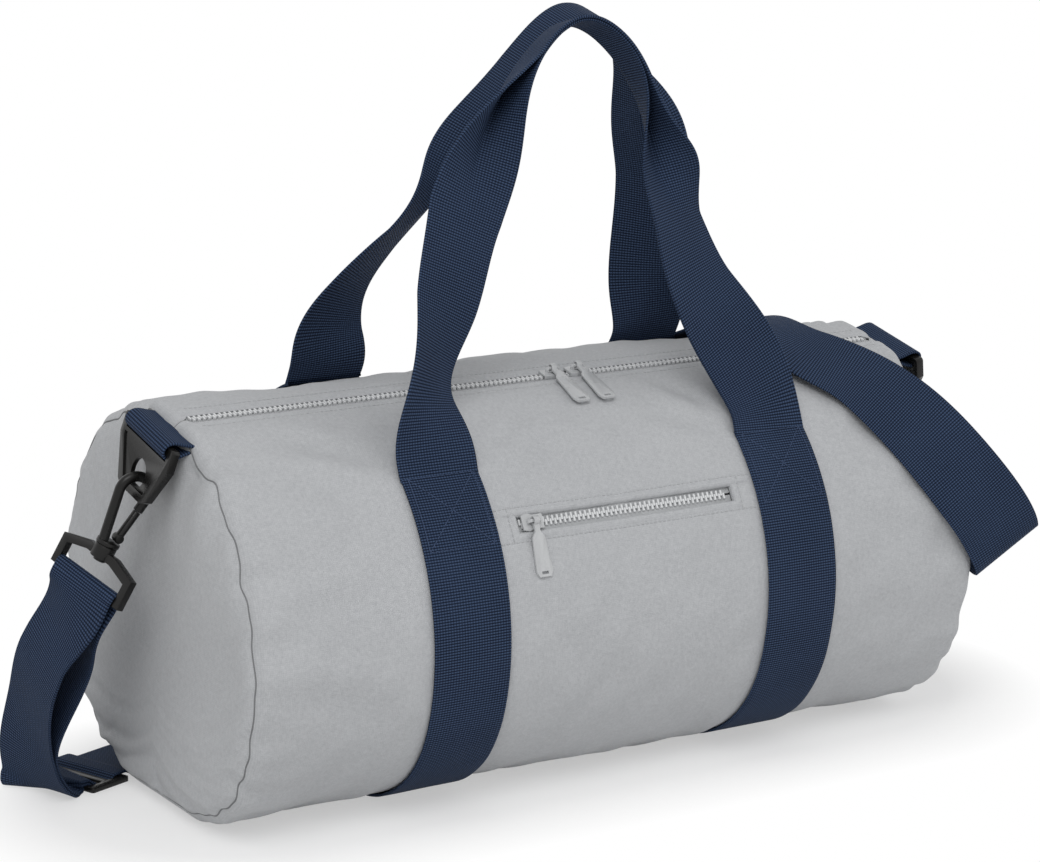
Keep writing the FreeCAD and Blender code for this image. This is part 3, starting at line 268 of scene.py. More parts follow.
def makeObject(name, points, faces, flatPlace, body, paint):
    mesh = bpy.data.meshes.new(name)
    mesh.from_pydata(points.reshape(-1, 3).tolist(), [], faces.tolist())
    corners = np.empty(len(mesh.loops), np.int32)
    mesh.loops.foreach_get("vertex_index", corners)
    layer = mesh.uv_layers.new(name="flat")
    layer.data.foreach_set("uv", flatPlace.reshape(-1, 2)[corners].astype(np.float32).ravel())
    mesh.polygons.foreach_set("use_smooth", np.ones(len(mesh.polygons), bool))
    mesh.materials.append(paint)
    item = bpy.data.objects.new(name, mesh)
    bpy.context.scene.collection.objects.link(item)
    if body:
        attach(item, body)
    return item


def gridFaces(rows, columns, closeColumns=False, closeRows=False):
    rowCount = rows if closeRows else rows - 1
    columnCount = columns if closeColumns else columns - 1
    row, column = np.meshgrid(np.arange(rowCount), np.arange(columnCount), indexing="ij")
    nextRow = (row + 1) % rows
    nextColumn = (column + 1) % columns
    quads = np.stack([row * columns + column, row * columns + nextColumn,
                      nextRow * columns + nextColumn, nextRow * columns + column], -1)
    return quads.reshape(-1, 4)


class Shade:
    # A value in a material's node tree, so that patterns are written as plain sums and products.
    def __init__(self, tree, socket):
        self.tree = tree
        self.socket = socket

    def node(self, kind, inputs=None, output=0, **settings):
        made = self.tree.nodes.new(kind)
        for name, value in settings.items():
            setattr(made, name, value)
        for place, value in (inputs or {}).items():
            if isinstance(value, Shade):
                self.tree.links.new(value.socket, made.inputs[place])
            else:
                made.inputs[place].default_value = value
        return Shade(self.tree, made.outputs[output])

    def math(self, operation, *values):
        return self.node("ShaderNodeMath", dict(enumerate(values)), operation=operation)

    def __add__(self, other):
        return self.math("ADD", self, other)

    def __radd__(self, other):
        return self.math("ADD", other, self)

    def __sub__(self, other):
        return self.math("SUBTRACT", self, other)

    def __rsub__(self, other):
        return self.math("SUBTRACT", other, self)

    def __mul__(self, other):
        return self.math("MULTIPLY", self, other)

    def __rmul__(self, other):
        return self.math("MULTIPLY", other, self)

    def wave(self, pitch):
        return self.math("SINE", self * (2 * np.pi / pitch)) * 0.5 + 0.5

    def noise(self, vector, scale, detail=2):
        return self.node("ShaderNodeTexNoise", {"Vector": vector, "Scale": scale, "Detail": detail})

    def between(self, low, high):
        inputs = {0: self, 6: (*low, 1), 7: (*high, 1)}
        return self.node("ShaderNodeMix", inputs, output=2, data_type="RGBA")


def makePaint(name, recipe):
    paint = bpy.data.materials.new(name)
    paint.use_nodes = True
    tree = paint.node_tree
    surface = tree.nodes["Principled BSDF"]
    start = Shade(tree, None)
    flat = start.node("ShaderNodeUVMap", uv_map="flat")
    place = start.node("ShaderNodeTexCoord", output="Object")
    found = recipe(start, flat, place)
    height = found.pop("height")
    bump = start.node("ShaderNodeBump", {"Height": height, "Distance": 1.0})
    tree.links.new(bump.socket, surface.inputs["Normal"])
    for socket, value in found.items():
        if isinstance(value, Shade):
            tree.links.new(value.socket, surface.inputs[socket])
        else:
            surface.inputs[socket].default_value = value
    return paint


def split(start, vector):
    parts = start.tree.nodes.new("ShaderNodeSeparateXYZ")
    start.tree.links.new(vector.socket, parts.inputs[0])
    return [Shade(start.tree, output) for output in parts.outputs]


# Noises are given by their scale and detail, pitches and heights in metres, and the rest are shares.
cloth = {
    "threadPitch": 0.0011, "threadHeight": 0.00006, "slub": (420, 2), "slubHeight": 0.00012,
    "fleck": (1300, 2), "broad": (14, 4), "broadHeight": 0.0007, "rough": 0.78, "slubRough": 0.15,
    "slubTone": 0.8, "fleckTone": 0.8, "weaveTone": 0.3, "broadTone": 0.25, "darkening": 0.55,
    "sheen": 0.15, "sheenRough": 0.5,
}
# The webbing's rib and yarn shares lighten the rib crests: partly woven pattern, partly painted highlight.
webbing = {
    "ribPitch": 0.0016, "ribHeight": 0.00013, "yarnPitch": 0.0018, "yarnHeight": 0.00006,
    "fuzz": (900, 2), "broad": (22, 3), "rough": 0.7, "fuzzRough": 0.2, "gloss": 0.12,
    "yarnPatternHighlight": 0.75, "ribPatternHighlight": 0.4, "fuzzTone": 0.3, "broadTone": 0.2, "darkening": 0.25,
}
hard = {"fine": (700, 2), "broad": (60, 3), "fineTone": 0.3, "broadTone": 0.6}


def clothRecipe(dark, light):
    # A plain weave, two sine waves multiplied, under the noise of uneven yarn.
    def recipe(start, flat, place):
        warp, weft, _ = split(start, flat)
        weave = warp.wave(cloth["threadPitch"]) * weft.wave(cloth["threadPitch"])
        slub = start.noise(place, *cloth["slub"])
        fleck = start.noise(place, *cloth["fleck"])
        broad = start.noise(place, *cloth["broad"])
        tone = slub * cloth["slubTone"] + fleck * cloth["fleckTone"] + weave * cloth["weaveTone"]
        tone = tone + broad * cloth["broadTone"] - cloth["darkening"]
        height = weave * cloth["threadHeight"] + slub * cloth["slubHeight"] + broad * cloth["broadHeight"]
        rough = cloth["rough"] + slub * cloth["slubRough"]
        return {"Base Color": tone.between(dark, light), "Roughness": rough, "height": height,
                "Sheen Weight": cloth["sheen"], "Sheen Roughness": cloth["sheenRough"]}
    return recipe


def webbingRecipe(dark, light):
    # Ribs run across the webbing and yarns along it, each a sine wave, and where yarns cross the rib crests
    # the colour is lighter: the woven pattern plus a painted highlight where light catches the crests.
    def recipe(start, flat, place):
        across, along, _ = split(start, flat)
        fuzz = start.noise(place, *webbing["fuzz"])
        broad = start.noise(place, *webbing["broad"])
        ribs = along.wave(webbing["ribPitch"])
        yarns = across.wave(webbing["yarnPitch"])
        tone = ribs * (yarns * webbing["yarnPatternHighlight"] + webbing["ribPatternHighlight"]) + fuzz * webbing["fuzzTone"]
        tone = tone + broad * webbing["broadTone"] - webbing["darkening"]
        height = ribs * webbing["ribHeight"] + yarns * webbing["yarnHeight"]
        rough = webbing["rough"] + fuzz * webbing["fuzzRough"]
        return {"Base Color": tone.between(dark, light), "Roughness": rough, "height": height,
                "Specular IOR Level": webbing["gloss"]}
    return recipe


def hardRecipe(dark, light, rough, grain, gloss=0.5):
    # A smooth surface with a fine grain, whose roughness wanders between two values.
    def recipe(start, flat, place):
        fine = start.noise(place, *hard["fine"])
        broad = start.noise(place, *hard["broad"])
        tone = broad * hard["broadTone"] + fine * hard["fineTone"]
        roughness = rough[0] + (rough[1] - rough[0]) * broad
        return {"Base Color": tone.between(dark, light), "Roughness": roughness, "height": fine * grain,
                "Specular IOR Level": gloss}
    return recipe


# Each finish: the darkest and the lightest colour, then for hard ones the roughness, the grain and the gloss.
finishes = {
    "cloth": clothRecipe((0.385, 0.395, 0.41), (0.56, 0.57, 0.585)),
    "lining": clothRecipe((0.30, 0.31, 0.32), (0.42, 0.43, 0.44)),
    "tape": clothRecipe((0.38, 0.39, 0.40), (0.52, 0.53, 0.54)),
    "webbing": webbingRecipe((0.002, 0.005, 0.015), (0.055, 0.088, 0.165)),
    "navyThread": hardRecipe((0.024, 0.04, 0.082), (0.075, 0.11, 0.20), (0.6, 0.8), 0.00004, 0.2),
    "greyThread": hardRecipe((0.36, 0.37, 0.38), (0.58, 0.59, 0.60), (0.5, 0.7), 0.00004),
    "moulded": hardRecipe((0.004, 0.004, 0.004), (0.011, 0.0105, 0.010), (0.2, 0.36), 0.00002, 0.26),
    # The seam finish is the dark grey of the painted shadow line in the end seams' crease.
    "seam": hardRecipe((0.16, 0.165, 0.17), (0.27, 0.275, 0.28), (0.7, 0.8), 0.00004, 0.1),
    "teeth": hardRecipe((0.60, 0.61, 0.62), (0.80, 0.81, 0.82), (0.2, 0.35), 0.00001),
    "enamel": hardRecipe((0.42, 0.43, 0.44), (0.60, 0.61, 0.62), (0.2, 0.35), 0.00001),
}
paints = {name: makePaint(name, recipe) for name, recipe in finishes.items()}
print("materials made")


# The grid is finer over the shoulders, beside the zip and at the folded edge above the pocket.
shellMesh = {
    "rows": 236, "columns": 268, "shoulderRows": 11, "shoulderStart": 0.1,
    "flapSteps": np.array([0, 0.0004, 0.0008, 0.0016, 0.0028, 0.0042, 0.0058]),
    "zipSteps": np.array([0.0008, 0.0018, 0.0030, 0.0045, 0.0060, 0.0075, 0.0090]),
    "closeRamp": 0.0015, "closedGap": 0.0001, "closeReach": 0.012, "hem": 0.0012, "hemFlat": 0.001,
}


def wrapArc(around):
    return np.where(around > halfRound, around - 2 * halfRound, around)


def shellGrid():
    # Rows run along the barrel and over each shoulder, columns from the zip's front edge round to its rear.
    curl = np.radians(barrel["curl"])
    bend = barrel["shoulder"] * curl
    straight = barrel["halfLength"] - barrel["shoulder"]
    pocketRows = [barrel["pocketLeft"], barrel["pocketRight"]]
    profile = np.concatenate([np.linspace(-straight, straight, shellMesh["rows"]), pocketRows])
    shoulderSteps = straight + bend * np.linspace(shellMesh["shoulderStart"], 1, shellMesh["shoulderRows"])
    profile = np.sort(np.concatenate([-shoulderSteps, profile, shoulderSteps]))
    turn = np.clip((np.abs(profile) - straight) / barrel["shoulder"], 0, curl)
    along = np.sign(profile) * (np.minimum(np.abs(profile), straight) + barrel["shoulder"] * np.sin(turn))
    inset = barrel["shoulder"] * (1 - np.cos(turn))
    first = arcAt(barrel["zipAngle"]) + barrel["zipGap"]
    last = arcAt(barrel["zipAngle"]) + 2 * halfRound - barrel["zipGap"]
    pocketArcs = np.append(arcAt(barrel["pocketTop"]) - shellMesh["flapSteps"], arcAt(barrel["pocketFoot"]))
    beside = [first + shellMesh["zipSteps"], last - shellMesh["zipSteps"]]
    around = np.concatenate([np.linspace(first, last, shellMesh["columns"]), pocketArcs, *beside])
    return along, inset, np.sort(around)


def makeShell():
    # The section carried along the barrel plus its relief. Past the zip's ends the two edges close up.
    along, inset, around = shellGrid()
    x, arc = np.meshgrid(along, around, indexing="ij")
    fromEdge = np.minimum(arc - around[0], around[-1] - arc)
    pull = ease((np.abs(x) - barrel["zipEnd"]) / shellMesh["closeRamp"])
    pull = pull * (barrel["zipGap"] - shellMesh["closedGap"])
    pull = pull * ease(1 - fromEdge / shellMesh["closeReach"])
    arc = np.where(arc < halfRound, arc - pull, arc + pull)
    wrapped = wrapArc(arc)
    lift = relief(x, wrapped) - inset[:, None]
    hem, hemFlat = shellMesh["hem"], shellMesh["hemFlat"]
    hemFront = onSection(x[:, 0], wrapped[:, 0] + hem, lift[:, 0] - hem)
    hemRear = onSection(x[:, -1], wrapped[:, -1] - hem, lift[:, -1] - hem)
    points = np.concatenate([hemFront[:, None], onSection(x, wrapped, lift), hemRear[:, None]], 1)
    flatArc = np.concatenate([arc[:, :1] - hemFlat, arc, arc[:, -1:] + hemFlat], 1)
    flatX = np.concatenate([x[:, :1], x, x[:, -1:]], 1)
    faces = gridFaces(*points.shape[:2])
    middleX = points[..., 0].reshape(-1)[faces].mean(1)
    middleArc = flatArc.reshape(-1)[faces].mean(1)
    inPocket = (middleX > barrel["pocketLeft"]) & (middleX < barrel["pocketRight"])
    inPocket = inPocket & (middleArc > arcAt(barrel["pocketTop"])) & (middleArc < arcAt(barrel["pocketFoot"]))
    flat = np.stack([flatX, flatArc], -1)
    item = makeObject("shell", points, faces[~inPocket][:, ::-1], flat, "bag", paints["cloth"])
    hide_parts("barrel_panel")
    return item


makeShell()
print("shell made")

endPanel = {
    "flatRings": 44, "flatShare": 0.92, "spokes": 320, "centreDrop": 0.008, "reach": 0.0030,
    "rimSteps": np.array([0.065, 0.05, 0.038, 0.029, 0.022, 0.016, 0.011, 0.007, 0.004, 0.0018, 0]),
    "swell": 0.0062, "rimShare": 0.6, "rimPower": 10, "bowlPower": 3, "seamDepth": 0.0022, "seamReach": 0.003,
    "foldWaves": (11, 0.02, 0.07), "foldSeed": 21, "foldHeight": 0.0014,
    "foldReach": 0.035, "foldStart": 0.006, "foldDraw": 0.35,
    "broadWaves": (6, 0.08, 0.2), "broadSeed": 31, "broadHeight": 0.0016, "broadStart": 0.03,
}
# The painted shadow line in each end seam: how far back and down it sits, its radius, and its steps and
# sides.
seamShadowTube = {"back": 0.0004, "drop": 0.0008, "radius": 0.00055, "steps": 520, "sides": 8}


def sideName(stem, side):
    return stem + ("_left" if side < 0 else "_right")


def makeEnd(side):
    # A disc that swells past its seam, with folds that run in from the gathered edge.
    share = np.linspace(0, endPanel["flatShare"], endPanel["flatRings"])
    share = np.concatenate([share, 1 - endPanel["rimSteps"]])
    around = np.linspace(-halfRound, halfRound, endPanel["spokes"], endpoint=False)
    ring, arc = np.meshgrid(share, around, indexing="ij")
    edgeX = side * barrel["halfLength"]
    edge = onSection(edgeX, arc, relief(edgeX + 0 * arc, arc) - barrel["shoulder"] + endPanel["reach"])
    centre = np.array([edgeX, 0, axisHeight - endPanel["centreDrop"]])
    points = centre + (edge - centre) * ring[..., None]
    inward = (1 - ring) * barrel["radius"]
    rim = np.sqrt(1 - ring ** endPanel["rimPower"])
    bowl = np.sqrt(1 - ring ** endPanel["bowlPower"])
    puff = endPanel["rimShare"] * rim + (1 - endPanel["rimShare"]) * bowl
    swell = endPanel["swell"] * puff - endPanel["seamDepth"] * np.exp(-inward / endPanel["seamReach"])
    drawn = arc * (endPanel["foldDraw"] + (1 - endPanel["foldDraw"]) * ring)
    folds = waves(0 * arc, drawn, *endPanel["foldWaves"], endPanel["foldSeed"] + side)
    folds = folds * np.exp(-inward / endPanel["foldReach"]) * ease(inward / endPanel["foldStart"])
    broad = waves(points[..., 1], points[..., 2], *endPanel["broadWaves"], endPanel["broadSeed"] + side)
    broad = broad * ease(inward / endPanel["broadStart"])
    swell = swell + endPanel["foldHeight"] * folds + endPanel["broadHeight"] * broad
    points[..., 0] = edgeX + side * swell
    faces = gridFaces(*ring.shape, closeColumns=True)
    flat = points[..., 1:]
    item = makeObject(sideName("end", side), points, faces[:, ::side], flat, "bag", paints["cloth"])
    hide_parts(sideName("end_panel", side))
    return item


def makeSeamShadowLine(side):
    # A thin dark tube laid where the end panel meets the shell, as a painted shadow line for the shade in the
    # seam's crease.
    around = np.linspace(-halfRound, halfRound, seamShadowTube["steps"], endpoint=False)
    turn = np.linspace(0, 2 * np.pi, seamShadowTube["sides"], endpoint=False)
    arc, turn = np.meshgrid(around, turn, indexing="ij")
    edgeX = side * barrel["halfLength"]
    lift = relief(edgeX + 0 * arc, arc) - barrel["shoulder"] + endPanel["reach"] - seamShadowTube["drop"]
    x = edgeX - side * seamShadowTube["back"] + seamShadowTube["radius"] * np.cos(turn)
    points = onSection(x, arc, lift + seamShadowTube["radius"] * np.sin(turn))
    faces = gridFaces(*arc.shape, closeColumns=True, closeRows=True)
    flat = np.stack([x, arc], -1)
    item = makeObject(sideName("end_seam", side), points, faces, flat, "bag", paints["seam"])
    return item


for side in (-1, 1):
    makeEnd(side)
    makeSeamShadowLine(side)
print("ends made")

# The rounded edge of flat webbing: places through the thickness, and its share of the half width.
tapeEdge = {"places": np.array([0.55, 0, -0.55]), "share": 0.012, "columns": 15}


def tapeLoop():
    # The outline of the webbing's cross-section, across and through, both from -1 to 1.
    flat = np.linspace(-1, 1, tapeEdge["columns"])
    inner = 1 - tapeEdge["share"]
    rim = tapeEdge["share"] * np.sqrt(1 - tapeEdge["places"] ** 2)
    across = np.concatenate([flat * inner, inner + rim, -flat * inner, -inner - rim])
    through = np.concatenate([0 * flat + 1, tapeEdge["places"], 0 * flat - 1, -tapeEdge["places"]])
    return across, through


def bandRest(along, arc):
    # The webbing follows the cloth where that dips, and hardly stands above the cut shape.
    return np.minimum(relief(along, arc) + bands["overCloth"], bands["highest"])


def makeBand(side):
    # The webbing's cross-section carried round the section under the base, from handle root to handle root.
    across, through = tapeLoop()
    start = arcAt(bands["frontAngle"] + bands["lead"])
    end = 2 * halfRound + arcAt(bands["rearAngle"] - bands["lead"])
    arc, place = np.meshgrid(np.linspace(start, end, bands["steps"]), across, indexing="ij")
    x = side * bands["middle"] + place * bands["width"] / 2
    lift = bandRest(x, wrapArc(arc)) + bands["lift"] + bands["thickness"] * (through + 1) / 2
    points = onSection(x, wrapArc(arc), lift)
    faces = gridFaces(*arc.shape, closeColumns=True)
    flat = np.stack([x, arc], -1)
    name = sideName("webbing_band", side)
    item = makeObject(name + "_cloth", points, faces[:, ::-1], flat, "bag", paints["webbing"])
    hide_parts(name)
    return item


for side in (-1, 1):
    makeBand(side)
print("bands made")

# The folded lip round the pocket's opening: steps inward from the cut edge, and the height there.
pocketLip = {
    "inward": np.array([-0.0040, -0.0022, -0.0008, 0.0003, 0.0010, 0.0008]),
    "height": np.array([-0.0002, 0.0006, 0.0008, 0.0005, -0.0006, -0.0030]),
    "steps": 60,
}


def makePocketLip():
    # A rolled profile carried round a rectangle that shrinks by the step inward.
    share = np.linspace(0, 1, pocketLip["steps"], endpoint=False)
    still = 0 * share
    sideX = np.concatenate([share * 2 - 1, still + 1, 1 - share * 2, still - 1])[:, None]
    sideArc = np.concatenate([still - 1, share * 2 - 1, still + 1, 1 - share * 2])[:, None]
    inward = pocketLip["inward"][None]
    top, foot = arcAt(barrel["pocketTop"]), arcAt(barrel["pocketFoot"])
    halfX = (barrel["pocketRight"] - barrel["pocketLeft"]) / 2 - inward
    halfArc = (foot - top) / 2 - inward
    x = (barrel["pocketRight"] + barrel["pocketLeft"]) / 2 + sideX * halfX
    arc = (foot + top) / 2 + sideArc * halfArc
    points = onSection(x, arc, relief(x, arc) + pocketLip["height"][None])
    faces = gridFaces(*x.shape, closeRows=True)
    item = makeObject("pocket_lip", points, faces[:, ::-1], np.stack([x, arc], -1), "bag", paints["cloth"])
    return item


makePocketLip()
print("pocket lip made")

thread = {
    "pitch": 0.0031, "share": 0.8, "radius": 0.00034, "sunk": 0.5, "sides": 6,
    "ringPlaces": np.array([0, 0.18, 0.5, 0.82, 1]), "ringSizes": np.array([0.35, 0.9, 1, 0.9, 0.35]),
}


def unit(vectors):
    return vectors / np.linalg.norm(vectors, axis=-1, keepdims=True)


def lengthAlong(path):
    return np.concatenate([[0], np.cumsum(np.linalg.norm(np.diff(path, axis=0), axis=1))])


def sew(name, lines, paint):
    # Stitches laid end to end along lines of (x, arc, height).
    # Each is a row of rings that narrows at both ends and dips into the cloth there.
    runs = []
    for x, arc, height in lines:
        path = onSection(x, arc, height)
        places = lengthAlong(path)
        count = max(2, int(round(places[-1] / thread["pitch"])))
        wanted = np.arange(count)[:, None] + 0.5 + (thread["ringPlaces"] - 0.5) * thread["share"]
        wanted = wanted / count * places[-1]
        middle = np.stack([np.interp(wanted, places, path[:, axis]) for axis in range(3)], -1)
        normal = sectionNormal(np.interp(wanted, places, arc))
        runs.append(np.stack([middle, normal], 2))
    runs = np.concatenate(runs)
    middle, up = runs[:, :, 0], runs[:, :, 1]
    heading = unit(np.repeat(middle[:, -1:] - middle[:, :1], middle.shape[1], 1))
    aside = np.cross(heading, up)
    size = thread["ringSizes"][None, :, None] * thread["radius"]
    middle = middle + up * (size - thread["radius"] * thread["sunk"])
    turn = np.linspace(0, 2 * np.pi, thread["sides"], endpoint=False)[None, None, :, None]
    around = np.cos(turn) * aside[:, :, None] + np.sin(turn) * up[:, :, None]
    points = middle[:, :, None] + size[..., None] * around
    one = gridFaces(len(thread["ringPlaces"]), thread["sides"], closeColumns=True)
    perStitch = len(thread["ringPlaces"]) * thread["sides"]
    faces = (one[None] + perStitch * np.arange(len(points))[:, None, None]).reshape(-1, 4)
    item = makeObject(name, points, faces, points[..., :2], "bag", paint)
    return item


def sewOnCloth(along, arc):
    along, arc = np.broadcast_arrays(np.asarray(along, float), np.asarray(arc, float))
    return along, arc, relief(along, arc)


def sewOnBand(along, arc):
    along, arc = np.broadcast_arrays(np.asarray(along, float), np.asarray(arc, float))
    return along, arc, bandRest(along, arc) + bands["lift"] + bands["thickness"]


seams = {
    "zipAside": 0.0124, "zipReach": 0.238, "zipPoints": 400,
    "pocketTop": 57.3, "pocketFoot": 66.2, "pocketAside": 0.0042, "pocketReach": 0.0895,
    "pocketPoints": 180, "pocketEndPoints": 20,
    "boxHalf": 0.0212, "boxAngles": [(46.2, 65.5), (-20.2, -39.5)], "boxPoints": 40,
}
zipLine = np.linspace(-seams["zipReach"], seams["zipReach"], seams["zipPoints"])
zipArcs = [arcAt(barrel["zipAngle"]) + side * seams["zipAside"] for side in (-1, 1)]
sew("zip_stitches", [sewOnCloth(zipLine, place) for place in zipArcs], paints["greyThread"])
pocketEnds = (barrel["pocketLeft"] - seams["pocketAside"], barrel["pocketRight"] + seams["pocketAside"])
pocketLine = np.linspace(-seams["pocketReach"], seams["pocketReach"], seams["pocketPoints"])
pocketArcs = (arcAt(seams["pocketTop"]), arcAt(seams["pocketFoot"]))
pocketDown = np.linspace(*pocketArcs, seams["pocketEndPoints"])
pocketLines = [sewOnCloth(pocketLine, place) for place in pocketArcs]
pocketLines += [sewOnCloth(end, pocketDown) for end in pocketEnds]
sew("pocket_stitches", pocketLines, paints["greyThread"])

# On each band, front and rear, a box with a cross in it holds the handle.
boxLines = []
for side in (-1, 1):
    left = side * bands["middle"] - seams["boxHalf"]
    right = side * bands["middle"] + seams["boxHalf"]
    for top, foot in seams["boxAngles"]:
        across = np.linspace(left, right, seams["boxPoints"])
        down = arcAt(np.linspace(top, foot, seams["boxPoints"]))
        boxLines += [sewOnBand(across, down[0]), sewOnBand(across, down[-1]), sewOnBand(left, down),
                     sewOnBand(right, down), sewOnBand(across, down), sewOnBand(across[::-1], down)]
sew("band_stitches", boxLines, paints["navyThread"])
print("stitching made")


def throughRows(rows, count):
    # Natural cubic splines through the rows, over the distance between their first three columns.
    rows = np.asarray(rows, float)
    steps = np.linalg.norm(np.diff(rows[:, :3], axis=0), axis=1)
    places = np.concatenate([[0], np.cumsum(steps)])
    system = np.eye(len(rows))
    change = np.zeros_like(rows)
    for row in range(1, len(rows) - 1):
        before, after = steps[row - 1], steps[row]
        system[row, row - 1:row + 2] = before, 2 * (before + after), after
        change[row] = 6 * ((rows[row + 1] - rows[row]) / after - (rows[row] - rows[row - 1]) / before)
    bend = np.linalg.solve(system, change)
    wanted = np.linspace(0, places[-1], count)
    span = np.clip(np.searchsorted(places, wanted, side="right") - 1, 0, len(rows) - 2)
    step = steps[span][:, None]
    back = (places[span + 1] - wanted)[:, None]
    ahead = (wanted - places[span])[:, None]
    curved = (bend[span] * back ** 3 + bend[span + 1] * ahead ** 3) / (6 * step)
    straight = (rows[span] / step - bend[span] * step / 6) * back
    return curved + straight + (rows[span + 1] / step - bend[span + 1] * step / 6) * ahead


# The fold's bend as a share of the half width, and the edge's bulge as a share of the thickness.
ribbonMesh = {"columns": 41, "foldBend": 0.14, "edgeBulge": 0.35, "edgeFlat": 1.01}


def makeRibbon(name, centre, across, settings, fold=None):
    # Flat webbing along a path. Where fold is 1, one half is turned over onto the other.
    run = unit(np.gradient(centre, axis=0))
    side = unit(across - run * np.sum(across * run, -1, keepdims=True))
    face = np.cross(run, side)
    fold = np.zeros(len(centre)) if fold is None else np.clip(fold, 0, 1)
    profile = np.linspace(1, -1, ribbonMesh["columns"])
    bend = ease(0.5 - profile / ribbonMesh["foldBend"])
    turn = settings.get("foldSide", 1) * np.pi * fold[:, None] * bend[None]
    step = settings["width"] / 2 * (profile[0] - profile[1])
    heading = face[:, None] * np.sin(turn)[..., None] - side[:, None] * np.cos(turn)[..., None]
    upright = face[:, None] * np.cos(turn)[..., None] + side[:, None] * np.sin(turn)[..., None]
    offset = np.cumsum(heading, 1) * step
    offset = offset - offset.mean(1, keepdims=True)
    middle = centre[:, None] + offset
    half = settings["thickness"] / 2
    rim = ribbonMesh["edgeBulge"] * settings["thickness"]
    over = middle + upright * half
    under = middle - upright * half
    firstRim = middle[:, :1] - heading[:, :1] * rim
    lastRim = middle[:, -1:] + heading[:, -1:] * rim
    points = np.concatenate([over, lastRim, under[:, ::-1], firstRim], 1)
    length = lengthAlong(centre)
    flatEdge = ribbonMesh["edgeFlat"]
    flatAcross = np.concatenate([profile, [-flatEdge], profile[::-1], [flatEdge]]) * settings["width"] / 2
    flat = np.stack(np.broadcast_arrays(flatAcross[None], length[:, None]), -1)
    faces = gridFaces(*points.shape[:2], closeColumns=True)
    item = makeObject(name, points, faces, flat, settings.get("body"), paints["webbing"])
    item["length"] = float(length[-1])
    return item


# Each handle: where it leaves the band, how it leans and how high it stands, then rows with the place along
# the bag as a share of the bands' spacing, the height as a share, the twist in degrees and the fold.
handles = {
    "front": {
        "angle": 44, "lean": -12.8, "height": 0.246, "foldSide": -1,
        "rows": [
            (-1.00, 0.04, 0, 0), (-0.99, 0.16, -30, 0), (-0.84, 0.37, -18, 0), (-0.67, 0.58, -4, 0),
            (-0.46, 0.77, 44, 0.55), (-0.17, 0.94, 90, 1), (0.12, 1.016, 90, 1), (0.39, 0.925, 90, 1),
            (0.51, 0.74, 125, 0.75), (0.57, 0.57, 152, 0.1), (0.69, 0.35, 172, 0), (0.91, 0.16, 188, 0),
            (1.00, 0.04, 180, 0),
        ],
    },
    "rear": {
        "angle": -18, "lean": 14, "height": 0.226, "foldSide": 1,
        "rows": [
            (-1.00, 0.04, 0, 0), (-1.01, 0.11, -8, 0), (-0.93, 0.24, -26, 0), (-0.70, 0.38, -34, 0),
            (-0.44, 0.53, -55, 0.3), (-0.25, 0.73, -85, 0.9), (-0.05, 0.875, -90, 1), (0.25, 0.985, -90, 1),
            (0.55, 0.885, -90, 1), (0.72, 0.73, -106, 0.6), (0.89, 0.49, -124, 0), (0.97, 0.17, -155, 0),
            (1.00, 0.04, -180, 0),
        ],
    },
}


# Where a handle grows out of its band: the gap above the stitch line, the overlap in degrees, how deep it is
# sunk into the band, and a bend length.
handleRoot = {"gap": 0.0007, "overlap": 2.5, "sunk": 0.0004, "bend": 0.035, "steps": 260}


def makeHandle(name, settings):
    # A ribbon through the rows, which lie in a leaning plane, with a root laid on the band at each end.
    lean = np.radians(settings["lean"])
    rise = np.array([0, -np.sin(lean), np.cos(lean)])
    facing = np.cross(rise, [1, 0, 0])
    arc = arcAt(settings["angle"])
    hinge = onSection(0, arc, bands["lift"] + bands["thickness"])
    rows = []
    for along, up, twist, fold in settings["rows"]:
        lift = handleRoot["gap"] + up * (settings["height"] - handleRoot["gap"])
        centre = hinge + np.array([along * bands["middle"], 0, 0]) + rise * lift
        rows.append([*centre, twist, fold])
    rootArc = arc + np.sign(settings["angle"]) * arcAt(handleRoot["overlap"])
    rootLift = bands["lift"] + bands["thickness"] / 2 - handleRoot["sunk"]
    roots = []
    for side, twist in ((-1, rows[0][3]), (1, rows[-1][3])):
        place = side * bands["middle"]
        roots.append([*onSection(place, rootArc, rootLift + bandRest(place, rootArc)), twist, 0])
    path = throughRows([roots[0], *rows, roots[1]], handleRoot["steps"])
    twist = np.radians(path[:, 3:4])
    across = np.cos(twist) * np.array([1, 0, 0]) - np.sin(twist) * facing
    ribbon = {"width": bands["width"], "thickness": bands["thickness"], "foldSide": settings["foldSide"]}
    item = makeRibbon("handle_" + name + "_webbing", path[:, :3], across, ribbon, path[:, 4])
    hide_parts("handle_" + name)
    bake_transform(item)
    return item


for handleName, handleSettings in handles.items():
    makeHandle(handleName, handleSettings)
print("handles made")


def furthestFace(node, axis):
    # The middle of the face that lies furthest along an axis.
    sameFace = 0.0001
    points = np.array([corner.co for corner in cadNodes[node].data.vertices])
    depth = points @ axis
    face = points[depth > depth.max() - sameFace]
    return (face.min(0) + face.max(0)) / 2


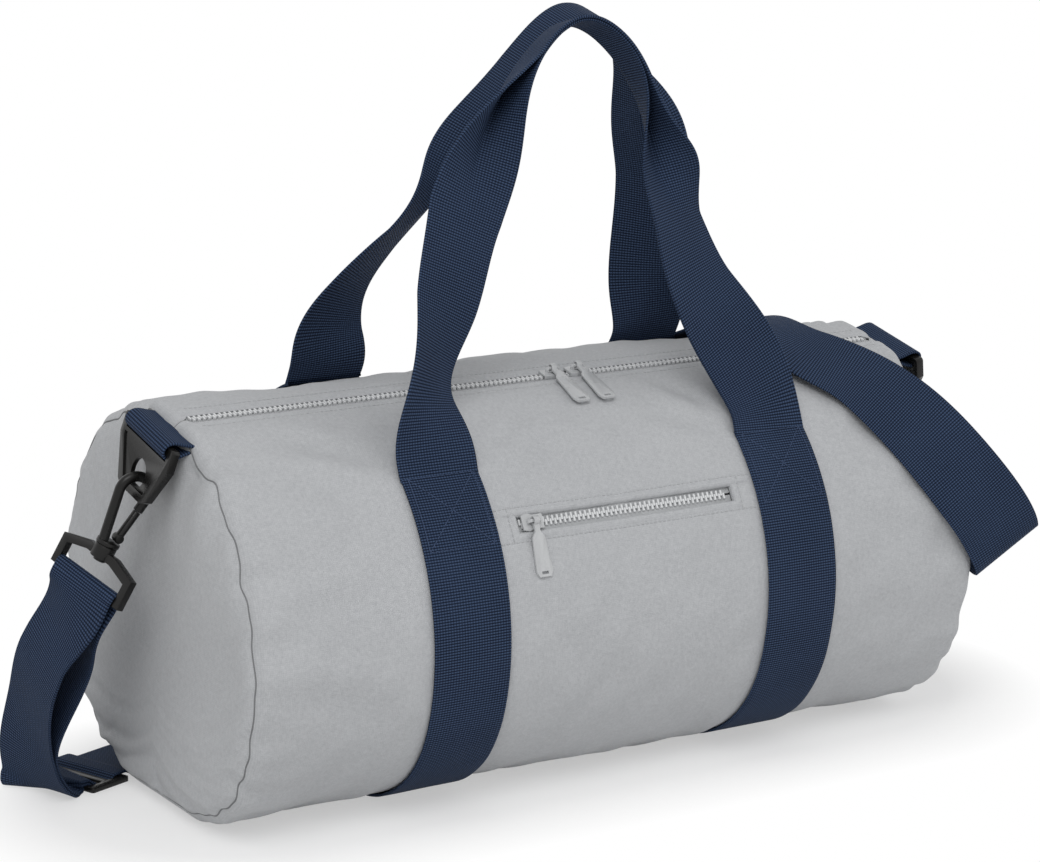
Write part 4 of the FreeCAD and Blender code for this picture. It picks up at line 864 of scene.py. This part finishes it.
# The strap's route: places as shares of the half length and the radius, then the way the webbing faces.
# Over the barrel a row is the place along, the angle and the lift.
strap = {
    "width": bands["width"], "thickness": bands["thickness"], "body": "bag",
    "leftAxis": unit(np.array([-0.43, 0.19, -0.88])), "leftFace": np.array([-0.87, -0.36, 0.34]),
    "rightAxis": unit(np.array([0.25, -0.55, -0.797])), "rightFace": np.array([0.16, 0.84, -0.52]),
    "barHalf": 0.0025, "barGap": 0.0004, "straight": 0.008,
    "wrap": 0.0036, "wrapSteps": 9, "wrapReach": 0.016,
    "slideTurn": np.radians(20.5), "slideStart": 0.0033, "slideReach": 0.026,
    "slideHop": 0.0034, "hopRise": 0.005, "hopFall": 0.009,
    "mainRest": 0.0011, "mainSteps": 620,
    "tail": 0.03, "tailSteps": 16, "tailGap": 0.0018, "tailReach": 0.014,
    "loopRest": 0.0020, "loopSteps": 240, "layerHalf": 0.00095,
    "loopOpen": 0.0080, "openStart": 0.28, "openEnd": 0.66, "openFade": 0.36,
    "loop": [
        (-1.210, 0.038, 0.866, -0.93, -0.13, 0.25), (-1.232, 0.137, 0.684, -0.95, -0.15, 0.22),
        (-1.248, 0.258, 0.456, -0.98, -0.17, 0.10), (-1.250, 0.342, 0.274, -0.97, -0.25, -0.10),
        (-1.232, 0.395, 0.129, -0.80, -0.25, -0.53), (-1.204, 0.448, 0.042, -0.42, -0.15, -0.90),
    ],
    "floorRun": [
        (-0.848, 0.729, 0.009, 0, 0, 1), (-0.664, 0.859, 0.012, 0, 0.05, 1),
        (-0.512, 0.957, 0.068, 0, 0.26, 0.97), (-0.368, 1.018, 0.175, 0, 0.70, 0.71),
        (-0.232, 1.041, 0.350, 0, 0.98, 0.17),
    ],
    "overBarrel": [
        (-0.100, -97, 0.0040), (0.048, -82, 0.0033), (0.192, -67, 0.0033), (0.336, -54, 0.0033),
        (0.488, -43, 0.0035), (0.616, -33, 0.0035), (0.680, -18, 0.0045), (0.672, -3, 0.0086),
        (0.660, 13, 0.0112),
    ],
    "frontFall": [
        (0.688, -0.413, 1.815, -0.09, -0.46, 0.88), (0.760, -0.591, 1.725, -0.15, -0.57, 0.81),
        (0.828, -0.767, 1.592, -0.26, -0.72, 0.64), (0.888, -0.904, 1.436, -0.31, -0.85, 0.43),
        (0.960, -1.041, 1.216, -0.31, -0.94, 0.15), (1.044, -1.087, 0.980, -0.25, -0.97, -0.02),
        (1.076, -1.064, 0.889, 0.23, -0.74, -0.58), (1.104, -0.973, 0.859, 0.55, -0.15, -0.82),
        (1.128, -0.805, 0.889, 0.50, 0.20, -0.84), (1.142, -0.638, 0.980, 0.38, 0.48, -0.78),
    ],
}
slideLow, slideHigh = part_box("slide_adjuster")
slideMiddle = np.array((slideLow + slideHigh) / 2)
slideRun = np.array([np.cos(strap["slideTurn"]), np.sin(strap["slideTurn"]), 0])


def freeRows(rows):
    scale = np.array([barrel["halfLength"], barrel["radius"], barrel["radius"], 1, 1, 1])
    return [list(np.array(row) * scale) for row in rows]


def besideSlide(side, further, height, facing):
    place = slideMiddle + side * further * slideRun
    return [place[0], place[1], height, 0, 0, facing]


def layOnFloor(path, side, rest):
    # No point of the path lies under the floor, and beside the slide it hops over the outer bar.
    fromSlide = path[:, :2] - slideMiddle[:2]
    further = side * fromSlide @ slideRun[:2]
    aside = np.abs(fromSlide @ np.array([-slideRun[1], slideRun[0]]))
    rise = ease((further - strap["slideStart"]) / strap["hopRise"])
    fall = ease((strap["slideReach"] - further) / strap["hopFall"])
    hop = strap["slideHop"] * rise * fall * (aside < strap["width"] / 2)
    height = np.maximum(path[:, 2], rest) + hop
    return np.concatenate([path[:, :2], height[:, None], path[:, 3:]], 1)


def acrossFrom(path):
    return np.cross(path[:, 3:6], np.gradient(path[:, :3], axis=0))


def besideBar(bar, axis, face, steps):
    # Two rows where the webbing leaves a bar, straight along the hook's axis.
    leave = strap["barHalf"] + strap["barGap"]
    return [[*(bar + (leave + further) * axis), *face] for further in steps]


def wrapRoundBar(bar, axis, face):
    # Half a turn round a bar, from the side that the webbing faces to the other.
    turn = np.linspace(0, np.pi, strap["wrapSteps"])[1:-1, None]
    return bar + strap["wrap"] * (np.cos(turn) * face - np.sin(turn) * axis)


def makeStrapLoop():
    # One path from the hook's bar to the slide, with a layer on each side of it that part in the middle.
    axis = strap["leftAxis"]
    bar = furthestFace("hook_base_left", axis) - strap["barHalf"] * axis
    toSlide = (strap["slideReach"], strap["slideStart"])
    rows = besideBar(bar, axis, strap["leftFace"], (0, strap["straight"]))
    rows += freeRows(strap["loop"])
    rows += [besideSlide(-1, further, strap["loopRest"], -1) for further in toSlide]
    path = layOnFloor(throughRows(rows, strap["loopSteps"]), -1, strap["loopRest"])
    across = acrossFrom(path)
    run = unit(np.gradient(path[:, :3], axis=0))
    face = np.cross(run, unit(across))
    face = face * np.sign(np.sum(face * path[:, 3:6], -1, keepdims=True))
    fromBar = np.linalg.norm(path[:, :3] - path[0, :3], axis=1)[:, None]
    atBar = ease(1 - fromBar / strap["wrapReach"])
    share = np.linspace(0, 1, len(path))[:, None]
    opened = ease(share / strap["openStart"]) * ease((strap["openEnd"] - share) / strap["openFade"])
    spread = strap["layerHalf"] + (strap["wrap"] - strap["layerHalf"]) * atBar + strap["loopOpen"] * opened
    outer = path[:, :3] + face * spread
    inner = path[:, :3] - face * spread
    wrap = wrapRoundBar(bar, axis, face[0])
    centre = np.concatenate([outer[::-1], wrap, inner])
    acrossAll = np.concatenate([across[::-1], np.repeat(across[:1], len(wrap), 0), across])
    item = makeRibbon("strap_loop_webbing", centre, acrossAll, strap)
    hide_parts("strap_loop")
    return item


def makeStrapMain():
    # From the slide along the floor, up the back, over the barrel and down the front to the right hook's bar,
    # round it, and back as a short sewn tail.
    axis = strap["rightAxis"]
    bar = furthestFace("hook_base_right", axis) - strap["barHalf"] * axis
    fromSlide = (strap["slideStart"], strap["slideReach"])
    rows = [besideSlide(1, further, strap["mainRest"], 1) for further in fromSlide]
    rows += freeRows(strap["floorRun"])
    for along, turn, lift in strap["overBarrel"]:
        arc = arcAt(turn)
        rows.append([*onSection(along * barrel["halfLength"], arc, lift), *sectionNormal(arc)])
    rows += freeRows(strap["frontFall"])
    rows += besideBar(bar, axis, strap["rightFace"], (strap["straight"], 0))
    path = layOnFloor(throughRows(rows, strap["mainSteps"]), 1, strap["mainRest"])
    across = acrossFrom(path)
    face = unit(strap["rightFace"] - axis * (strap["rightFace"] @ axis))
    toBar = np.linalg.norm(path[:, :3] - path[-1, :3], axis=1)[:, None]
    centre = path[:, :3] + face * strap["wrap"] * ease(1 - toBar / strap["wrapReach"])
    wrap = wrapRoundBar(bar, axis, face)
    tailPlace = np.linspace(0, strap["tail"], strap["tailSteps"])[:, None]
    atBar = ease(1 - tailPlace / strap["tailReach"])
    tailGap = strap["tailGap"] + (strap["wrap"] * 2 - strap["tailGap"]) * atBar
    tail = bar + axis * (strap["barHalf"] + strap["barGap"] + tailPlace)
    tail = tail + face * (strap["wrap"] * atBar - tailGap)
    centre = np.concatenate([centre, wrap, tail])
    acrossAll = np.concatenate([across, np.repeat(across[-1:], len(wrap) + len(tail), 0)])
    item = makeRibbon("strap_main_webbing", centre, acrossAll, strap)
    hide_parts("strap_main")
    return item


makeStrapLoop()
makeStrapMain()
print("strap made")

# A tab's path beside its seam: how far out, and half the distance between its layers.
tabs = {
    "width": bands["width"], "thickness": bands["thickness"], "body": "bag", "reach": 0.012, "eye": 0.0047,
    "eyeTurn": 75, "eyeSteps": 11, "neck": [(-0.005, 0.0014), (0.001, 0.0022), (0.006, 0.0037)], "steps": 90,
}


def makeTab(side):
    # A webbing loop from the end seam round the ring's bar and back.
    arc = arcAt(barrel["zipAngle"])
    out = np.array([side, 0, 0])
    up = sectionNormal(np.array(arc))
    root = onSection(side * barrel["halfLength"], arc, -barrel["shoulder"])
    turns = np.radians(np.linspace(tabs["eyeTurn"], -tabs["eyeTurn"], tabs["eyeSteps"]))
    eye = [(tabs["reach"] + tabs["eye"] * np.cos(turn), tabs["eye"] * np.sin(turn)) for turn in turns]
    outline = tabs["neck"] + eye + [(x, -z) for x, z in tabs["neck"][::-1]]
    path = throughRows([root + out * x + up * z for x, z in outline], tabs["steps"])
    across = np.repeat(np.cross(out, up)[None], len(path), 0)
    name = sideName("tab", side)
    item = makeRibbon(name + "_webbing", path, across, tabs)
    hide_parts(name)
    return item


for side in (-1, 1):
    makeTab(side)
print("tabs made")

# The rounding of each fitting's edges.
rounding = {
    "ring": 0.0009, "hook": 0.0016, "hook_gate": 0.0006, "hook_base": 0.0009,
    "slide_adjuster": 0.0007, "slider": 0.0003, "teeth": 0.0003,
}
edges = {"weld": 0.00001, "flatAngle": 1, "sharpAngle": 35, "segments": 2}


def roundedCopy(node, ending, width, paint):
    # A copy of the solid's mesh, welded, with its flat faces joined and its sharp edges rounded off.
    mesh = cadNodes[node].data.copy()
    mesh.materials.clear()
    mesh.materials.append(paint)
    item = bpy.data.objects.new(node + ending, mesh)
    bpy.context.scene.collection.objects.link(item)
    weld = item.modifiers.new("weld", "WELD")
    weld.merge_threshold = edges["weld"]
    flatten = item.modifiers.new("flatten", "DECIMATE")
    flatten.decimate_type = "DISSOLVE"
    flatten.angle_limit = np.radians(edges["flatAngle"])
    bevel = item.modifiers.new("bevel", "BEVEL")
    bevel.width = width
    bevel.segments = edges["segments"]
    bevel.limit_method = "ANGLE"
    bevel.angle_limit = np.radians(edges["sharpAngle"])
    bevel.harden_normals = True
    mesh.polygons.foreach_set("use_smooth", np.ones(len(mesh.polygons), bool))
    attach(item, cadNodes[node]["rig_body"])
    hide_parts(node)
    return item


def repaint(node, paint):
    cadNodes[node].data.materials.clear()
    cadNodes[node].data.materials.append(paint)


for side in (-1, 1):
    for fitting in ("ring", "hook", "hook_gate", "hook_base"):
        roundedCopy(sideName(fitting, side), "_moulding", rounding[fitting], paints["moulded"])
roundedCopy("slide_adjuster", "_moulding", rounding["slide_adjuster"], paints["moulded"])
sliders = ["main_slider_left", "main_slider_right", "pocket_slider"]
pulls = ["main_pull_left", "main_pull_right", "pocket_pull"]
for node in sliders + pulls:
    roundedCopy(node, "_cast", rounding["slider"], paints["enamel"])
for zipName in ("main_zip", "pocket_zip"):
    for edgeName in ("_front", "_rear"):
        teeth = zipName + "_teeth" + edgeName
        roundedCopy(teeth, "_moulding", rounding["teeth"], paints["teeth"])
        repaint(zipName + "_tape" + edgeName, paints["tape"])
for node in ("pocket_lining", "seam_binding_left", "seam_binding_right"):
    repaint(node, paints["lining"])
print("fittings made")

studio = {
    "floorHalf": 6, "floorDark": (0.88, 0.88, 0.88), "floorLight": (0.92, 0.92, 0.92),
    "floorRough": (0.8, 0.9), "floorGrain": 0.00002, "worldLight": 0.52, "seenWhite": 1.0,
    "shadowHalf": 0.2, "shadowReach": 0.11, "shadowFade": 0.065, "nearWhite": 0.47,
}
floorMesh = bpy.data.meshes.new("floor")
floorCorners = [(-1, -1, 0), (1, -1, 0), (1, 1, 0), (-1, 1, 0)]
floorMesh.from_pydata((np.array(floorCorners) * studio["floorHalf"]).tolist(), [], [(0, 1, 2, 3)])
floor = bpy.data.objects.new("floor", floorMesh)
bpy.context.scene.collection.objects.link(floor)
floorFinish = [studio[key] for key in ("floorDark", "floorLight", "floorRough", "floorGrain")]
floorPaint = makePaint("floorPaint", hardRecipe(*floorFinish))
floorMesh.materials.append(floorPaint)


def seenRay(start):
    # 1 for what the camera sees, straight, in a gloss or through glass, and 0 for what only lights the bag.
    path = start.tree.nodes.new("ShaderNodeLightPath")
    names = ("Is Camera Ray", "Is Glossy Ray", "Is Transmission Ray")
    straight, glossy, through = (Shade(start.tree, path.outputs[name]) for name in names)
    return start.math("MINIMUM", straight + glossy + through, 1.0)


world = bpy.data.worlds.new("studio")
world.use_nodes = True
background = world.node_tree.nodes["Background"]
background.inputs["Color"].default_value = (1, 1, 1, 1)
extraWhite = studio["seenWhite"] - studio["worldLight"]
brightness = seenRay(Shade(world.node_tree, None)) * extraWhite + studio["worldLight"]
world.node_tree.links.new(brightness.socket, background.inputs["Strength"])
bpy.context.scene.world = world

# Away from the bag the floor is seen plain white, and near it the floor keeps the shadow.
ground = Shade(floorPaint.node_tree, None)
floorX, floorY, _ = split(ground, ground.node("ShaderNodeTexCoord", output="Object"))
pastEnd = ground.math("MAXIMUM", ground.math("ABSOLUTE", floorX) - studio["shadowHalf"], 0.0)
distance = ground.math("SQRT", pastEnd * pastEnd + floorY * floorY)
fade = (distance - studio["shadowReach"]) * (1 / studio["shadowFade"])
fade = ground.math("MINIMUM", ground.math("MAXIMUM", fade, 0.0), 1.0)
whiteShare = (fade * (1 - studio["nearWhite"]) + studio["nearWhite"]) * seenRay(ground)
white = ground.node("ShaderNodeEmission", {"Color": (1, 1, 1, 1), "Strength": studio["seenWhite"]})
lit = Shade(ground.tree, ground.tree.nodes["Principled BSDF"].outputs[0])
shown = ground.node("ShaderNodeMixShader", {0: whiteShare, 1: lit, 2: white})
ground.tree.links.new(shown.socket, ground.tree.nodes["Material Output"].inputs["Surface"])


def aimed(name, data, settings):
    # An object that stands at a place and looks at a target.
    item = bpy.data.objects.new(name, data)
    item.location = settings["place"]
    look = Vector(settings["target"]) - Vector(settings["place"])
    item.rotation_euler = look.to_track_quat("-Z", "Y").to_euler()
    bpy.context.scene.collection.objects.link(item)
    return item


lamps = {
    "key": {"place": (-1.1, -1.5, 2.1), "target": (0, 0, 0.15), "size": 1.4, "power": 25},
    "fill": {"place": (1.8, -1.4, 1.2), "target": (0, 0, 0.2), "size": 1.6, "power": 6.5},
}
for lampName, lampSettings in lamps.items():
    lamp = bpy.data.lights.new(lampName, "AREA")
    lamp.size = lampSettings["size"]
    lamp.energy = lampSettings["power"]
    aimed(lampName, lamp, lampSettings)

# The camera as it was fitted to the photograph's outlines, with its lens and sensor in millimetres.
view = {"place": (-0.9519, -1.5476, 0.5911), "target": (0.0053, 0.0141, 0.1932), "lens": 104.74, "sensor": 36}
cameraData = bpy.data.cameras.new("camera")
cameraData.lens = view["lens"]
cameraData.sensor_width = view["sensor"]
bpy.context.scene.camera = aimed("camera", cameraData, view)
bpy.context.scene.view_settings.view_transform = "Standard"
print("studio made")
